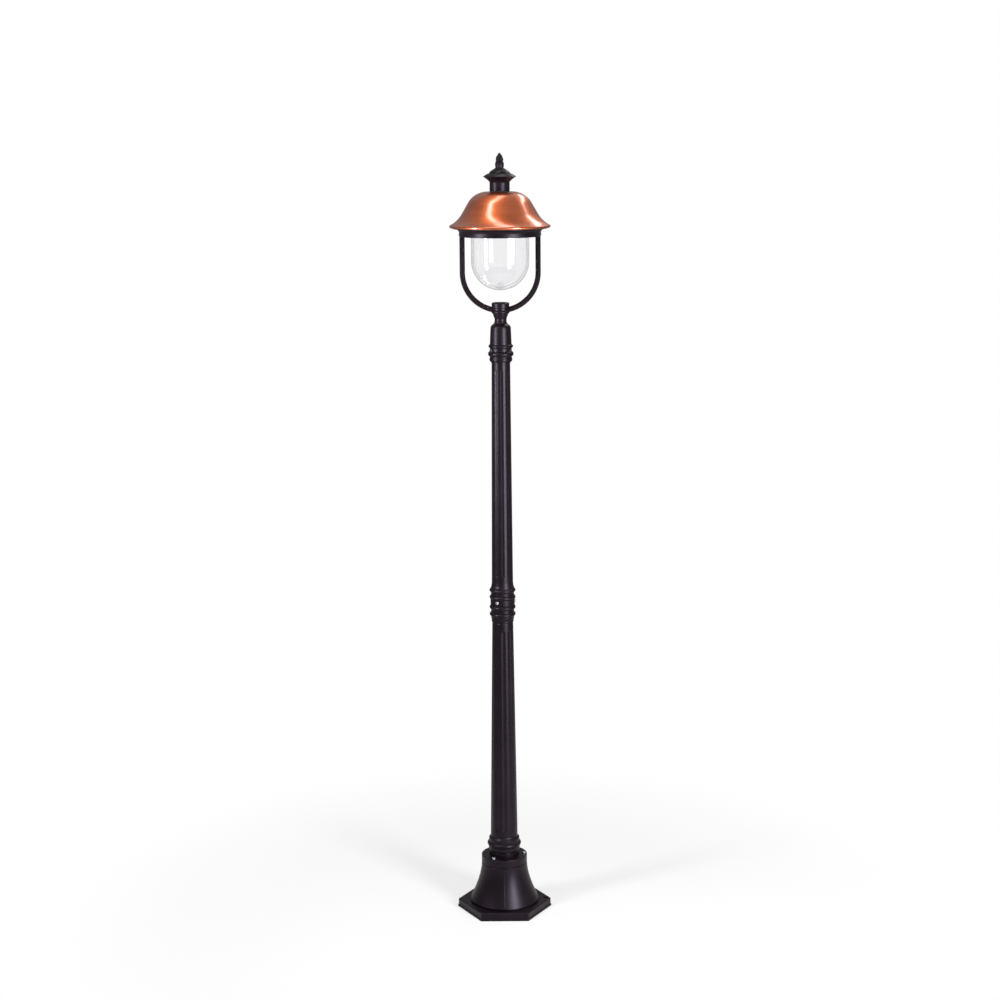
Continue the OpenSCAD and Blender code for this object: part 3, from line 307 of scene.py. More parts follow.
# A profile carried round the axis.
def turned(profile, sides):
    r, z = np.asarray(profile, float).T
    return roundGrid(r[:, None], evenAngles(sides), z)


# A grid of points, rows by columns, as quads. Columns always close; rows close with loop.
def gridMesh(grid, loop):
    rows, cols = grid.shape[:2]
    i, j = np.meshgrid(np.arange(rows if loop else rows - 1), np.arange(cols), indexing="ij")
    above, beside = (i + 1) % rows, (j + 1) % cols
    quads = [i * cols + j, i * cols + beside, above * cols + beside, above * cols + j]
    return grid.reshape(-1, 3) * mm, np.stack(quads, -1).reshape(-1, 4)


# Makes one object of one or more grids. Poles are merged, and edges sharper than the angle stay sharp.
def piece(name, grids, loop=True, sharp=38):
    points, quads, start = [], [], 0
    for grid in grids if isinstance(grids, list) else [grids]:
        p, q = gridMesh(grid, loop)
        points.append(p)
        quads.append(q + start)
        start += len(p)
    mesh = bpy.data.meshes.new(name)
    mesh.from_pydata(np.concatenate(points), [], np.concatenate(quads))
    made = bpy.data.objects.new(name, mesh)
    bpy.context.scene.collection.objects.link(made)
    shape = bmesh.new()
    shape.from_mesh(mesh)
    bmesh.ops.remove_doubles(shape, verts=shape.verts, dist=1e-6)
    shape.to_mesh(mesh)
    shape.free()
    smooth(mesh, sharp)
    return made


def smooth(mesh, sharp=38):
    mesh.polygons.foreach_set("use_smooth", np.ones(len(mesh.polygons), bool))
    mesh.set_sharp_from_angle(angle=radians(sharp))


# Cuts the space of other objects out of a piece, and removes them.
def cutAway(made, cutters):
    for cutter in cutters:
        cut = made.modifiers.new("cut", "BOOLEAN")
        cut.operation, cut.solver, cut.object = "DIFFERENCE", "EXACT", cutter
    graph = bpy.context.evaluated_depsgraph_get()
    mesh = bpy.data.meshes.new_from_object(made.evaluated_get(graph))
    made.modifiers.clear()
    old, made.data = made.data, mesh
    mesh.name = made.name
    bpy.data.meshes.remove(old)
    for cutter in cutters:
        bpy.data.objects.remove(cutter)
    smooth(mesh)


# Gives a piece its finish and puts it on the frame in place of the CAD node that it stands for.
def mount(made, slotName, standsFor):
    made.data.materials.append(finishes[slotName])
    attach(made, "root")
    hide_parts(standsFor)


# A grid carried to its place by a matrix.
def placed(grid, matrix):
    m = np.array(matrix)
    return grid @ m[:3, :3].T + m[:3, 3]


def ringPlaces(count, first):
    return [Matrix.Rotation(radians(first + 360 * k / count), 4, "Z") for k in range(count)]


# Places on a ring that point outwards, for the holes and seats of screws.
def outwardPlaces(r, z, first):
    return [turn @ Matrix.Translation((r, 0, z)) @ Matrix.Rotation(pi / 2, 4, "Y")
            for turn in ringPlaces(3, first)]


# Cuts one turned hollow out of a piece at each place.
def cutTurned(made, profile, places, sides=48):
    cutAway(made, [piece("cutter", placed(turned(profile, sides), place), loop=False)
                   for place in places])


# ---- foot and bell

foot = {"cornerR": 126, "cornerRound": 3.0, "lipH": 5, "step": 2, "height": 22, "bevel": 2,
        "rimIn": 8, "plateR": 108, "plateUnder": 17, "landR": 96, "grooveR": 89, "grooveZ": 23.25,
        "bellFootR": 92, "bellTopR": 60.5, "bellEdgeZ": 24.5, "bellTopZ": 127, "bellPower": 1.7,
        "bellWall": 5, "hollowR": 84, "plate": 12, "cableHoleR": 25,
        "boltR": 110, "boltHoleR": 5.5, "sinkR": 6.5, "sinkLow": 21.2, "sinkHigh": 22.2,
        "cutLow": 12, "cutHigh": 26, "bossR": 10.5, "bossTop": 17.4,
        "seamAt": -90.6, "seamLine": 0.3, "seamDeg": 0.6, "sides": 288, "cornerSpread": 0.021}


# Bell radius: top radius + flare * (depth below the top, as a share) ^ power.
def bellRadius(z):
    depth = (foot["bellTopZ"] - z) / (foot["bellTopZ"] - foot["bellEdgeZ"])
    return foot["bellTopR"] + (foot["bellFootR"] - foot["bellTopR"]) * depth ** foot["bellPower"]


# Distance to a hexagon's edge at angle a: its half width over cos of the angle from the middle of
# that side, and near a corner the circle that rounds it.
def hexRadius(a, cornerR):
    bend = foot["cornerRound"]
    off = (a + pi / 6) % (pi / 3) - pi / 6
    side = cornerR * cos(pi / 6) / np.cos(pi / 6 - np.abs(off))
    middle = cornerR - bend / sin(pi / 3)
    tangent = bend / tan(pi / 3)
    edge = np.arctan2(tangent * sin(pi / 3), cornerR - tangent * cos(pi / 3))
    corner = middle * np.cos(off) + np.sqrt(np.maximum(bend ** 2 - (middle * np.sin(off)) ** 2, 0))
    return np.where(np.abs(off) < edge, corner, side)


# Angles of the foot's columns: even ones, with close ones round the six corners and the seam.
def footAngles():
    f = foot
    close = [np.linspace(-f["cornerSpread"], f["cornerSpread"], 13) + k * pi / 3 for k in range(6)]
    close += [radians(f["seamAt"]) + radians(f["seamDeg"]) * np.linspace(-2, 2, 9)]
    a = np.concatenate([evenAngles(f["sides"]), np.concatenate(close) % fullTurn])
    return np.unique(np.round(a, 5))


# Height of the casting seam at angle a: line * exp(-(angle from the seam / its width) ^ 2).
def seamHeight(a):
    off = np.abs((a - radians(foot["seamAt"]) + pi) % fullTurn - pi)
    return foot["seamLine"] * np.exp(-(off / radians(foot["seamDeg"])) ** 2)


# Each row of the foot is a hexagon or a circle round the axis, at its own height. The anchor holes
# are cut through the plate, and each has a turned boss under it.
def buildFoot():
    f = foot
    upperR, under = f["cornerR"] - f["step"], f["bellTopZ"] - f["plate"]
    outside = rounded([(f["cornerR"] - f["rimIn"], 0), (f["cornerR"], 0, 0.6),
                       (f["cornerR"], f["lipH"], 1.2), (upperR, f["lipH"], 0.8),
                       (upperR, f["height"] - f["bevel"], 1.2),
                       (upperR - f["bevel"], f["height"], 1.2), (f["plateR"], f["height"])])
    bellZ = f["bellEdgeZ"] + (f["bellTopZ"] - f["bellEdgeZ"]) * np.linspace(0, 1, 30)
    bell = rounded([(f["landR"], f["height"]), (f["grooveR"], f["height"], 0.4),
                    (f["grooveR"], f["grooveZ"], 0.4), (bellRadius(bellZ[0]), bellZ[0], 0.8)]
                   + list(zip(bellRadius(bellZ[1:-1]), bellZ[1:-1]))
                   + [(f["bellTopR"], f["bellTopZ"], 0.8), (f["cableHoleR"], f["bellTopZ"], 0.6),
                      (f["cableHoleR"], under, 0.6)])
    hollowZ = np.linspace(under, f["bellEdgeZ"], 16)
    hollow = list(zip(bellRadius(hollowZ) - f["bellWall"], hollowZ)) + [(f["hollowR"], f["plateUnder"])]
    inside = rounded([(f["plateR"], f["plateUnder"]), (f["cornerR"] - f["rimIn"], f["plateUnder"], 1.5),
                      (f["cornerR"] - f["rimIn"], 1)])

    a = footAngles()
    seam = seamHeight(a)
    rows = ([hexRadius(a, r) for r, z in outside]
            + [r + seam * (z > f["bellEdgeZ"] + 1) for r, z in bell]
            + [np.full(a.shape, r) for r, z in hollow] + [hexRadius(a, r) for r, z in inside])
    heights = np.concatenate([outside[:, 1], bell[:, 1], np.array(hollow)[:, 1], inside[:, 1]])
    body = piece("footCasting", roundGrid(np.array(rows), a, heights))
    places = [turn @ Matrix.Translation((f["boltR"], 0, 0)) for turn in ringPlaces(3, 0)]
    hole = [(0, f["cutLow"]), (f["boltHoleR"], f["cutLow"]), (f["boltHoleR"], f["sinkLow"]),
            (f["sinkR"], f["sinkHigh"]), (f["sinkR"], f["cutHigh"]), (0, f["cutHigh"])]
    cutTurned(body, hole, places)
    mount(body, "black_coat", "base_casting")
    boss = rounded([(f["boltHoleR"], 0, 0.4), (f["bossR"], 0, 0.6), (f["bossR"], f["bossTop"]),
                    (f["boltHoleR"], f["bossTop"])], True)
    bosses = piece("anchorBosses", [placed(turned(boss, 48), place) for place in places])
    mount(bosses, "black_coat", "base_casting")


collar = {"holeR": 39.5, "r": 60.5, "low": 127.5, "high": 149, "groove": 0.8, "flangeR": 44.3,
          "flangeTop": 135}


# A closed profile turned round the axis.
def buildCollar():
    c = collar
    profile = rounded([(c["flangeR"], c["low"], 0.3), (c["r"] - c["groove"], c["low"], 0.4),
                       (c["r"] - c["groove"], c["low"] + c["groove"], 0.4),
                       (c["r"], c["low"] + c["groove"] * 1.6, 0.5), (c["r"], c["high"], 1.8),
                       (c["holeR"], c["high"], 0.8), (c["holeR"], c["flangeTop"], 0.3),
                       (c["flangeR"], c["flangeTop"])], True)
    mount(piece("clampCollar", turned(profile, 192)), "black_coat", "clamp_collar")


# ---- fluted posts

post = {"columns": 300, "count": 10, "firstDeg": 273, "edge": 0.35, "endRows": 46, "midRows": 26,
        "lower": {"low": 202, "lowR": 35.8, "high": 786, "highR": 27.4,
                  "toolR": 20, "depth": 1.3, "end": 24},
        "upper": {"low": 895.1, "lowR": 27.7, "high": 1470.1, "highR": 23.8,
                  "toolR": 24, "depth": 0.6, "end": 22},
        "ring": {"r": 34, "h": 10, "proud": 3.8}, "ringZ": (810, 828.6, 855.5, 874.1),
        "spotR": 4.7, "spotAt": (30.4, 844), "spotDeg": 243}


# Cuts flutes into rows of radius r(a, z). A flute is the space of a round-ended tool that runs
# parallel to the slope: r = m cos(a) - sqrt(t^2 - (m sin(a))^2), with m the distance of the tool's
# middle and t its radius there, which is sqrt(tool^2 - d^2) a distance d beyond its last middle.
def fluted(r, z, a, s):
    slope = np.arctan((s["lowR"] - s["highR"]) / (s["high"] - s["low"]))
    first, last = s["low"] + s["end"], s["high"] - s["end"]
    within = np.clip(z, first, last)
    surface = s["lowR"] - (within - s["low"]) * np.tan(slope)
    middle = surface + (s["toolR"] - s["depth"]) / np.cos(slope)
    beyond = np.abs(z - within)
    tool = np.sqrt(np.maximum(s["toolR"] ** 2 - beyond ** 2, 0))
    half, whole = pi / post["count"], fullTurn / post["count"]
    off = (a - radians(post["firstDeg"]) + half) % whole - half
    reach = tool ** 2 - (middle * np.sin(off)) ** 2
    met = (reach > 0) & (beyond < s["toolR"])
    cut = np.where(met, middle * np.cos(off) - np.sqrt(np.maximum(reach, 0)), 99)
    blend = np.clip(0.5 + 0.5 * (cut - r) / post["edge"], 0, 1)   # a soft arris along each flute
    return cut * (1 - blend) + r * blend - post["edge"] * blend * (1 - blend)


# Heights for a shaft: close together where the flutes end, far apart between.
def shaftRows(s):
    near = s["end"] + 4
    ends = np.linspace(0, 1, post["endRows"]) ** 0.9 * near
    between = np.linspace(s["low"] + near + 8, s["high"] - near - 8, post["midRows"])
    return np.concatenate([s["low"] + ends, between, s["high"] - ends[::-1]])


# One length of the post: the turned part below its shaft, the fluted shaft, the turned part above
# it, and the bore back down.
def postGrid(below, s, above, bore):
    rows = shaftRows(s)
    shaft = np.interp(rows, [s["low"], s["high"]], [s["lowR"], s["highR"]])
    parts = [below, np.stack([shaft, rows], 1)[1:-1], above, np.array(bore, float)]
    r, z = np.concatenate(parts).T
    r = np.repeat(r[:, None], post["columns"], 1)
    a = evenAngles(post["columns"])
    outer = slice(len(below), len(below) + len(rows) - 2)
    r[outer] = fluted(r[outer], z[outer, None], a, s)
    return roundGrid(r, a, z)


# The profiles run up the outside, as (radius, height, corner radius), and the spigot of the lower
# post stands in the upper one.
def buildPosts():
    ring = post["ring"]
    rings = [bead(ring["r"], z, ring["h"], ring["proud"]) for z in post["ringZ"]]
    low = rounded([(29, 127), (44, 127, 0.5), (44, 135, 0.5), (38, 135, 0.5), (38, 160, 1.6),
                   (34, 160, 0.8), (34, 164, 0.8), (41.5, 164, 1.2), (41.5, 174.4, 0.4)]
                  + bead(44.8, 180, 12, 4.3, low=41.6)
                  + [(40.5, 186.3), (40.5, 196, 1.6), (37.0, 200, 0.8), (35.8, 202)])
    ringsUnder = rounded([(27.4, 786), (26.8, 787, 0.4), (26.8, 789.2, 0.4), (28.8, 790, 0.7),
                          (28.8, 794.5, 2), (30.2, 803, 3)] + rings[0] + rings[1]
                         + [(31.6, 833.7, 0.3), (31.6, 835.8, 0.5), (25.4, 835.9, 0.3),
                            (25.4, 880, 1.5)])
    lower = postGrid(low, post["lower"], ringsUnder, [(21.4, 880), (21.4, 786), (29, 202)])
    mount(piece("lowerPost", lower), "black_coat", "lower_post")

    ringsOver = rounded([(25.6, 836.1), (31.6, 836.1, 0.5), (31.6, 850.5, 0.5)] + rings[2] + rings[3]
                        + [(30.2, 882, 2), (28.7, 886.7, 2), (27.7, 895.1)])
    top = rounded([(23.8, 1470.1), (22.3, 1470.4, 0.3), (22.3, 1518.1, 1.2)])
    upper = postGrid(ringsOver, post["upper"], top, [(18.2, 1518.1), (18.2, 892), (25.6, 881)])
    body = piece("upperPost", upper)
    spotR = post["spotR"]
    spot = [(0, 0), (spotR, 0), (spotR, 0.9), (spotR + 0.5, 1.5), (spotR + 0.5, 4), (0, 4)]
    cutTurned(body, spot, outwardPlaces(*post["spotAt"], post["spotDeg"]))
    mount(body, "black_coat", "upper_post")


# ---- neck, hub and bracket

neck = {"boreR": 4.2, "seatR": 19.5, "lowRing": (29.4, 1479.1, 10, 1.3),
        "wideRing": (32.7, 1493.2, 13.6, 4.6), "topRing": (31.4, 1512.7, 9, 3.5),
        "holeR": 3.1, "holeAt": (22.9, 1501.9), "holeDeg": 90}


# A closed profile with three rings, turned round the axis, and the holes of its screws.
def buildNeck():
    n = neck
    profile = rounded([(22.5, 1470.4), (25.4, 1470.4, 0.4), (25.4, 1473.1, 0.4), (28.2, 1474.4, 0.5)]
                      + bead(*n["lowRing"], high=28.3) + [(28.2, 1485.6, 0.3)]
                      + bead(*n["wideRing"], 28.3, 28.3, 21) + [(28.1, 1501.4, 1), (27.9, 1508.0, 0.4)]
                      + bead(*n["topRing"])
                      + [(26.2, 1558.1, 3), (25.5, 1562.4, 3), (23.6, 1565.6, 2), (20.3, 1568.1, 2.5),
                         (17.3, 1570.6, 2.5), (15.9, 1573.6, 2), (15.3, 1577.0), (n["boreR"], 1577.0),
                         (n["boreR"], 1557.1), (11, 1557.1), (n["seatR"], 1547.1),
                         (n["seatR"], 1519.1), (22.5, 1519.1)], True)
    body = piece("neckCasting", turned(profile, 160))
    holeR = n["holeR"]
    hole = [(0, 0), (holeR, 0), (holeR, 5.0), (holeR + 0.5, 5.6), (holeR + 0.5, 9), (0, 9)]
    cutTurned(body, hole, outwardPlaces(*n["holeAt"], n["holeDeg"]), 36)
    mount(body, "black_coat", "neck")


bracket = {"barW": 13.3, "barD": 14, "bevel": 3.6, "soft": 0.7, "gap": 0.15, "bendR": 96.15,
           "armZ": 1699.9, "topZ": 1790.9, "boreR": 4.2, "capR": 22.5, "capZ": 1610.4,
           "capTop": 1623.8, "bulge": (22.8, 1600.0, 9.6, 3.2)}


# The bar's outline: a rectangle with its four edges bevelled and the bevels' corners softened.
def barOutline():
    w, d, b = bracket["barW"] / 2, bracket["barD"] / 2, bracket["bevel"]
    corners = [(w, b - d), (w, d - b), (w - b, d), (b - w, d),
               (-w, d - b), (-w, b - d), (b - w, -d), (w - b, -d)]
    return rounded([(x, y, bracket["soft"]) for x, y in corners], True, 4)


# A section (across, deep) carried along a path in the XZ plane, whose points have a direction.
def alongPath(section, path, direction):
    across = np.stack([-direction[:, 1], direction[:, 0]], 1)
    x = path[:, 0, None] + across[:, 0, None] * section[None, :, 0]
    z = path[:, 1, None] + across[:, 1, None] * section[None, :, 0]
    y = np.repeat(section[None, :, 1], len(path), 0)
    return np.stack([x, -y, z], -1)


# Points of the bar's half circle and the way it runs there.
def barBend(low, high, steps):
    a = np.radians(np.linspace(low, high, steps))
    bend = np.stack([bracket["bendR"] * np.cos(a), bracket["armZ"] + bracket["bendR"] * np.sin(a)], 1)
    return bend, np.stack([-np.sin(a), np.cos(a)], 1)


# The bar's middle: down one arm, round the half circle and up the other.
def barPath():
    bend, way = barBend(180, 360, 97)
    z = np.linspace(bracket["topZ"] - 0.4, bracket["armZ"], 8)[:-1]
    left = np.stack([np.full(len(z), -bracket["bendR"]), z], 1)
    right = np.stack([np.full(len(z), bracket["bendR"]), z[::-1]], 1)
    down, up = np.tile([0.0, -1.0], (len(z), 1)), np.tile([0.0, 1.0], (len(z), 1))
    return np.concatenate([left, bend, right]), np.concatenate([down, way, up])


# Closes both ends of a tube with rows that shrink to its middle.
def capped(grid):
    inward = lambda row, size: row.mean(0) + (row - row.mean(0)) * size
    sizes = (0, 0.5, 0.9)
    return np.concatenate([[inward(grid[0], size) for size in sizes], grid,
                           [inward(grid[-1], size) for size in sizes[::-1]]])


# The room that the bar takes in the hub and its cap, with a gap all round.
def barSpace():
    w, d = bracket["barW"] / 2 + bracket["gap"], bracket["barD"] / 2 + bracket["gap"]
    box = np.array([(w, -d), (w, d), (-w, d), (-w, -d)], float)
    return piece("cutter", capped(alongPath(box, *barBend(240, 300, 41))), loop=False)


# The bar is its outline carried along its path. Hub and cap are turned profiles, less the bar's room.
def buildBracket():
    b = bracket
    bar = piece("bracketBar", capped(alongPath(barOutline(), *barPath())), loop=False)
    mount(bar, "black_coat", "bracket")

    low, high = b["capZ"] - 0.1, b["capZ"] + 0.1
    profile = rounded([(b["boreR"], 1577.2), (15.3, 1577.2, 0.3), (15.2, 1582.4, 4),
                       (17.6, 1589.1, 4), (19.4, 1594.3, 0.5)] + bead(*b["bulge"], 19.6, 20.4, 17)
                      + [(20.4, 1606.2, 0.5), (20.4, low, 0.4), (b["boreR"], low)], True)
    hub = piece("hubSaddle", turned(profile, 128))
    cutAway(hub, [barSpace()])
    mount(hub, "black_coat", "hub")

    profile = rounded([(b["boreR"], high), (b["capR"], high, 0.9), (b["capR"], b["capTop"] - 2, 1.0),
                       (b["capR"] - 2, b["capTop"], 1.2), (0, b["capTop"])])
    cap = piece("hubCap", turned(np.concatenate([[(0, high)], profile]), 128), loop=False)
    cutAway(cap, [barSpace()])
    mount(cap, "black_coat", "hub_cap")


# ---- lantern

carrier = {"bandR": 102.8, "bottom": 1790.9, "floor": 1793.9, "boreR": 74.5, "flare": 12,
           "flareZ": 1797.9, "sweep": 75, "sheet": 3, "rimR": 120.8, "top": 1812.39,
           "bossX": 96.15, "bossR": 9, "bossHoleR": 4.2, "bossTop": 1808.9}


# A flat band that flares out to its rim by an arc, turned round the axis, with two turned bosses.
def buildCarrier():
    c = carrier
    flareR = c["bandR"] + c["flare"]
    outer = arc(flareR, c["flareZ"], c["flare"], 180, 180 - c["sweep"], 13)
    inner = arc(flareR, c["flareZ"], c["flare"] + c["sheet"], 180 - c["sweep"], 180, 9)
    profile = rounded([(c["boreR"], c["bottom"], 0.6), (c["bandR"], c["bottom"], 1.0)] + outer
                      + [(c["rimR"], c["top"] - 1.6, 0.6), (c["rimR"], c["top"], 0.5)] + inner
                      + [(c["bandR"] - c["sheet"], c["floor"], 0.8),
                         (c["boreR"], c["floor"], 0.6)], True)
    boss = rounded([(c["bossHoleR"], c["floor"] - 1), (c["bossR"] - 0.5, c["floor"] - 1),
                    (c["bossR"] - 2.6, c["bossTop"], 0.8), (c["bossHoleR"], c["bossTop"], 0.4)], True)
    bosses = [placed(turned(boss, 48), Matrix.Translation((x, 0, 0)))
              for x in (-c["bossX"], c["bossX"])]
    mount(piece("carrierRing", [turned(profile, 192)] + bosses), "black_coat", "carrier_ring")


diffuser = {"r": 73.5, "wall": 3, "middle": 1728.9, "flangeZ": 1795.4, "flangeTop": 1798.4,
            "flangeR": 80}


# Two quarter circles, outside and inside, that the flange joins at the top, turned round the axis.
def buildBell():
    d = diffuser
    inner = d["r"] - d["wall"]
    outside = arc(0, d["middle"], d["r"], -90, 0, 49)
    flange = [(d["r"], d["flangeZ"], 0.8), (d["flangeR"], d["flangeZ"], 0.6),
              (d["flangeR"], d["flangeTop"], 0.6), (inner, d["flangeTop"], 0.8)]
    inside = arc(0, d["middle"], inner, 0, -90, 47)
    bell = piece("clearBell", turned(rounded(outside + flange + inside), 192), loop=False)
    mount(bell, "clear_acrylic", "diffuser")


roof = {"sheet": 1.2, "crownR": 32, "crownZ": 1903.03, "shoulderR": 56, "slope": 60, "sweepZ": 1851,
        "rimSlope": 24, "rimR": 3.9, "rimMiddleR": 124.18, "rimMiddleZ": 1816.29, "hem": 11.6,
        "holeR": 5.15, "sides": 240}


# The roof's line, inset by a depth: a flat crown, an arc down to the steepest slope, a straight flank,
# a curve that hollows out to the rim's slope, and the rolled rim with its hem. An arc's points are
# centre + radius * (sin a, cos a). The hollow is (1-u)^2 start + 2u(1-u) corner + u^2 end.
def roofLine(inset):
    r = roof
    wayDown = lambda slope: np.array([cos(slope), -sin(slope)])
    arcPoints = lambda middle, radius, a: middle + radius * np.stack([np.sin(a), np.cos(a)], 1)
    steep, low = radians(r["slope"]), radians(r["rimSlope"])
    shoulderMiddle = np.array([r["crownR"], r["crownZ"] - r["shoulderR"]])
    shoulderEnd = shoulderMiddle + r["shoulderR"] * np.array([sin(steep), cos(steep)])
    start = shoulderEnd + wayDown(steep) * (shoulderEnd[1] - r["sweepZ"]) / sin(steep)
    rimMiddle = np.array([r["rimMiddleR"], r["rimMiddleZ"]])
    end = rimMiddle + r["rimR"] * np.array([sin(low), cos(low)])
    ways = np.stack([wayDown(steep), wayDown(low)], 1)
    corner = start + wayDown(steep) * np.linalg.solve(ways, end - start)[0]   # where both slopes meet
    u = np.linspace(0, 1, 30)[:, None]
    hollow = (1 - u) ** 2 * start + 2 * u * (1 - u) * corner + u ** 2 * end
    way = 2 * (1 - u) * (corner - start) + 2 * u * (end - corner)
    normal = np.stack([way[:, 1], -way[:, 0]], 1)
    hollow = hollow + inset * normal / np.linalg.norm(way, axis=1)[:, None]
    crown = np.linspace(r["holeR"], r["crownR"] - 2, 5)
    crown = np.stack([crown, np.full(len(crown), r["crownZ"] - inset)], 1)
    shoulder = arcPoints(shoulderMiddle, r["shoulderR"] - inset, np.linspace(0, steep, 30))
    roll = arcPoints(rimMiddle, r["rimR"] - inset, np.linspace(low, pi, 22)[1:])
    hem = [(r["rimMiddleR"] - r["hem"], r["rimMiddleZ"] - r["rimR"] + inset)]
    return np.concatenate([crown, shoulder, hollow, roll, hem])


# The roof's line and the same line one sheet further in, turned round the axis.
def buildRoof():
    line = np.concatenate([roofLine(0), roofLine(roof["sheet"])[::-1]])[::-1]
    mount(piece("copperRoof", turned(line, roof["sides"]), sharp=50), "copper", "copper_roof")


chimney = {"r": 25.4, "rodR": 5.2, "low": 1904.53, "high": 1926.03, "gap": 0.1, "rimR": 41.5,
           "rimZ": 14, "rimEdge": 0.6, "capTop": 1960.03, "domeR": 27, "domeH": 12,
           "coveCurve": 1.35, "brimCurve": 1.3, "domeCurve": 1.65, "footR": 12.9}


# The cap's curves go from one radius to the next with a share t raised to a power.
def buildChimney():
    c = chimney
    top = c["high"] - c["gap"]
    tube = rounded([(c["rodR"], c["low"], 0.3), (c["r"], c["low"], 0.5), (c["r"], top, 0.5),
                    (c["rodR"], top, 0.3)], True)
    mount(piece("chimneyCollar", turned(tube, 128)), "black_coat", "chimney_collar")

    t = np.linspace(0, 1, 14)
    back = t[::-1]
    rimZ, brimR = c["high"] + c["rimZ"], c["domeR"] + 1
    brimH = c["capTop"] - c["high"] - c["domeH"] - c["rimZ"]
    cove = np.stack([c["r"] + (c["rimR"] - c["r"]) * t ** c["coveCurve"], c["high"] + c["rimZ"] * t], 1)
    brim = np.stack([brimR + (c["rimR"] - brimR) * back,
                     rimZ + brimH * (1 - back ** c["brimCurve"]) + c["rimEdge"] * back], 1)
    dome = np.stack([c["domeR"] + (c["footR"] - c["domeR"]) * (1 - back) ** c["domeCurve"],
                     c["capTop"] - c["domeH"] * back], 1)
    profile = [(0, c["high"]), (c["r"], c["high"], 0.3), *cove[1:-1], (c["rimR"], rimZ, 0.5),
               (c["rimR"], rimZ + c["rimEdge"], 0.5), *brim[1:-1], (*brim[-1], 0.3),
               (*dome[0], 0.3), *dome[1:], (0, c["capTop"])]
    mount(piece("chimneyCap", turned(rounded(profile), 160), loop=False), "black_coat", "chimney_cap")


finial = {"low": 1960.03, "height": 40, "footR": 12.9, "calyxR": 11.2, "budR": 9.8, "leaves": 6,
          "strands": 5, "groove": 0.24, "twistDeg": 150, "cupTop": 0.42, "footTop": 0.06,
          "swell": 0.2, "rows": 150, "columns": 240}


# Radius at angle a and share t of the height. The cup's lobes open upwards: calyx * swell * (1 -
# depth * (1 - sqrt|cos(leaves a / 2)|)). The bud's strands wind as they rise: bud * rise * (1 -
# groove * (1 - sqrt|sin((a + twist u) strands / 2)|)).
def finialRadius(a, t):
    f = finial
    footPart = f["footR"] + (f["calyxR"] * 0.95 - f["footR"]) * t / f["footTop"]
    u = np.clip((t - f["footTop"]) / (f["cupTop"] - f["footTop"]), 0, 1)
    notch = 1 - np.sqrt(np.abs(np.cos(a * f["leaves"] / 2)))
    cup = f["calyxR"] * (0.9 + 0.1 * np.sin(pi * u)) * (1 - (0.03 + 0.17 * u) * notch)
    v = np.clip((t - f["cupTop"]) / (1 - f["cupTop"]), 0, 1)
    rise = np.where(v < f["swell"], 0.9 + 0.1 * np.sin(np.minimum(v, f["swell"]) * 2.5 * pi),
                    1 - np.maximum((v - f["swell"]) / 0.8, 0) ** 2)
    groove = 1 - np.sqrt(np.abs(np.sin((a + radians(f["twistDeg"]) * v) * f["strands"] / 2)))
    bud = f["budR"] * rise * (1 - f["groove"] * groove)
    return np.where(t < f["footTop"], footPart, np.where(t < f["cupTop"], cup, bud))


# Rows of that radius up the height, closed by the bottom's middle.
def buildFinial():
    f = finial
    t = np.linspace(0, 1, f["rows"])[:, None]
    a = evenAngles(f["columns"])
    grid = roundGrid(finialRadius(a, t), a, f["low"] + f["height"] * t)
    bottom = np.zeros((1, f["columns"], 3)) + np.array([0, 0, f["low"]])
    bud = piece("finialBud", np.concatenate([bottom, grid]), loop=False, sharp=60)
    mount(bud, "black_coat", "finial")


buildFoot()
buildCollar()
print("foot and collar made")
buildPosts()
print("posts made")
buildNeck()
buildBracket()
print("neck, hub and bracket made")
buildCarrier()
buildBell()
buildRoof()
buildChimney()
buildFinial()
print("lantern made")


# ---- floor, light and camera

# The floor turns from floorWhite at fadeStart into plain white at fadeEnd. The room's light goes from
# roomLow to roomHigh between two heights of the sky. Mirrored is the share of white that metal shows.
studio = {"floorR": 1.9, "floorSides": 96, "floorColour": rgb(0.70, 0.665, 0.66),
          "floorTint": rgb(0.68, 0.645, 0.64), "floorWhite": 0.58, "fadeStart": 0.3, "fadeEnd": 1.25,
          "mirrored": 0.2, "roomLow": 0.05, "roomHigh": 0.38, "lowEdge": 0.1, "highEdge": 0.8,
          "aimZ": 1.87,   # boxes above this height turn down to it
          "boxes": {
              "leftBox": {"place": (-1.10, -0.69, 1.53), "size": (0.24, 1.05), "bright": 38,
                          "colour": (0.95, 0.98, 1.0)},
              "rightBox": {"place": (1.60, -2.08, 1.28), "size": (0.64, 1.8), "bright": 37,
                           "colour": (0.93, 0.96, 1.0)},
              "frontBox": {"place": (0.2, -2.3, 3.2), "size": (1.8, 0.8), "bright": 2.6,
                           "colour": (1.0, 1.0, 1.0)},
              "rightStrip": {"place": (1.42, 1.32, 3.37), "size": (2.1, 0.3), "bright": 9,
                             "colour": (1.0, 0.99, 0.96), "along": (-1.0, 1.8, 0)},
              "topStrip": {"place": (0.02, 0.38, 3.37), "size": (1.2, 0.3), "bright": 5,
                           "colour": (1.0, 0.99, 0.96), "along": (0.28, 1.15, 0)},
              "leftStrip": {"place": (-0.53, -0.55, 3.37), "size": (1.1, 0.32), "bright": 10.5,
                            "colour": (1.0, 0.99, 0.96), "along": (0.70, 0.74, 0)}}}


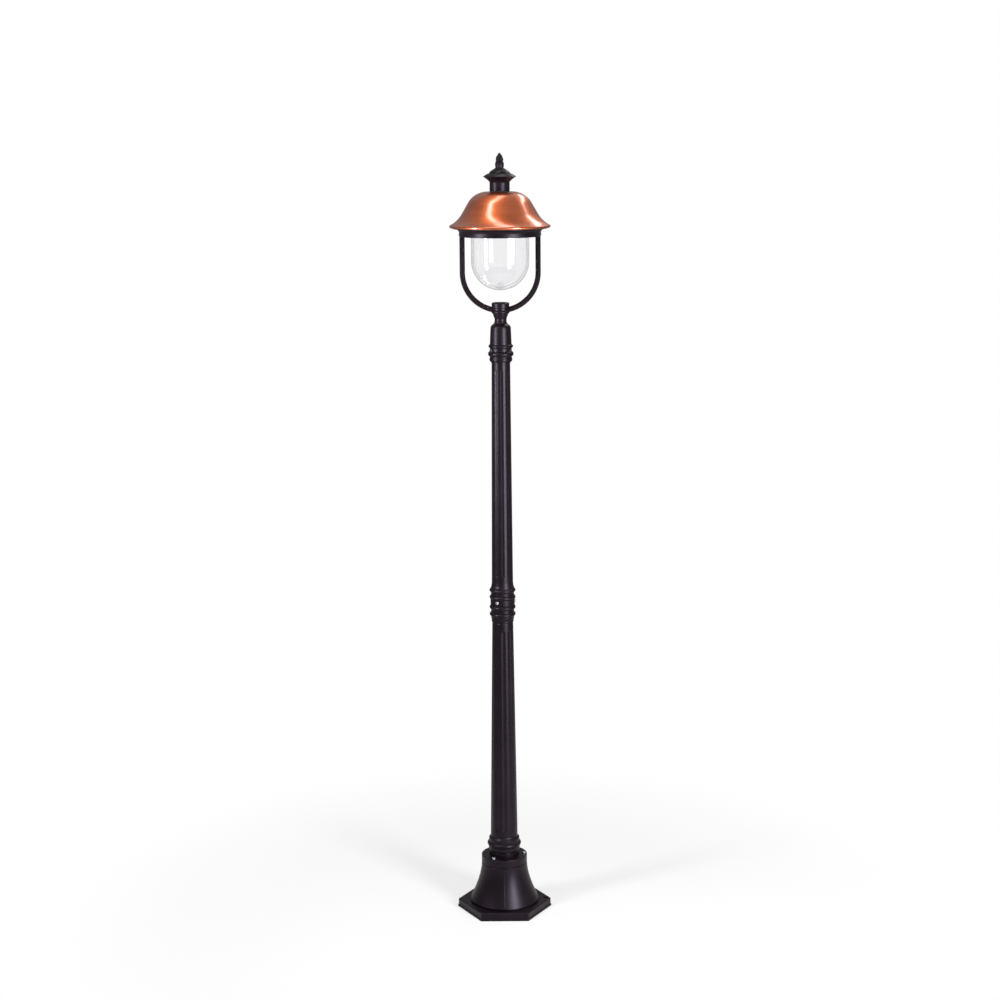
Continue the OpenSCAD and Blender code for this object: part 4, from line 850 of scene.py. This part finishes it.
# The floor is pale and takes the object's shadow; further out it turns into plain white.
def buildFloor():
    s = studio
    r = np.linspace(0, s["floorR"], 7) / mm
    floor = piece("floor", turned(np.stack([r, 0 * r], 1), s["floorSides"])[::-1], loop=False)
    f = Finish("paleFloor", {"Specular IOR Level": 0.1, "Roughness": 0.9})
    tint = f.share(f.noise(7, 3, 0.6), 0.3, 0.7) * 0.25
    f.feed("Base Color", f.mixed(tint, s["floorColour"], s["floorTint"]))
    white = f.node("Emission", None, {"Color": rgb(1, 1, 1), "Strength": 1.0})
    far = f.share(f.radius(), s["fadeStart"], s["fadeEnd"]) * (1 - s["floorWhite"]) + s["floorWhite"]
    f.endWith("Material Output", f.seenWhite() * far, Value(f, f.shader.outputs[0]), white)
    floor.data.materials.append(f.material)


# A softbox that faces the post's axis at its own height, or at aimZ if it hangs higher. Its power is
# its radiance times pi and its area.
def softbox(name, box):
    data = bpy.data.lights.new(name, "AREA")
    data.shape, (data.size, data.size_y) = "RECTANGLE", box["size"]
    data.energy = box["bright"] * pi * box["size"][0] * box["size"][1]
    data.color = box["colour"]
    place = Vector(box["place"])
    back = (place - Vector((0, 0, min(place.z, studio["aimZ"])))).normalized()
    side = Vector(box.get("along", (-back.y, back.x, 0)))
    side = (side - side.dot(back) * back).normalized()
    turn = Matrix((side, back.cross(side), back)).transposed().to_4x4()
    lamp = bpy.data.objects.new(name, data)
    lamp.matrix_world = Matrix.Translation(place) @ turn
    bpy.context.scene.collection.objects.link(lamp)


# The room is dark at the horizon and light overhead, and white where it is seen.
def buildRoom():
    s = studio
    world = bpy.data.worlds.new("studio")
    bpy.context.scene.world = world
    world.use_nodes = True
    world.node_tree.nodes.remove(world.node_tree.nodes["Background"])
    g = Graph(world.node_tree, "Generated")
    light = g.share(g.z, s["lowEdge"], s["highEdge"]) * (s["roomHigh"] - s["roomLow"]) + s["roomLow"]
    room, white = (g.node("Background", None, {"Color": rgb(1, 1, 1), "Strength": strength})
                   for strength in (light, 1.0))
    g.endWith("World Output", g.seenWhite(), room, white)


lens = {"place": (-0.0048, -5.0, 2.05), "pitch": 10.62, "roll": -0.42, "focal": 1962, "pixels": 1000,
        "sensor": 36}   # the focal length is in pixels


def buildCamera():
    data = bpy.data.cameras.new("camera")
    data.sensor_width, data.lens = lens["sensor"], lens["sensor"] * lens["focal"] / lens["pixels"]
    data.clip_start, data.clip_end = 0.1, 100
    pitch = Matrix.Rotation(radians(90 - lens["pitch"]), 4, "X")
    camera = bpy.data.objects.new("camera", data)
    camera.matrix_world = (Matrix.Translation(lens["place"]) @ pitch
                           @ Matrix.Rotation(radians(lens["roll"]), 4, "Z"))
    bpy.context.scene.collection.objects.link(camera)
    bpy.context.scene.camera = camera


buildFloor()
for name, box in studio["boxes"].items():
    softbox(name, box)
buildRoom()
buildCamera()
bpy.context.scene.view_settings.view_transform = "Standard"
print("floor, light and camera made")
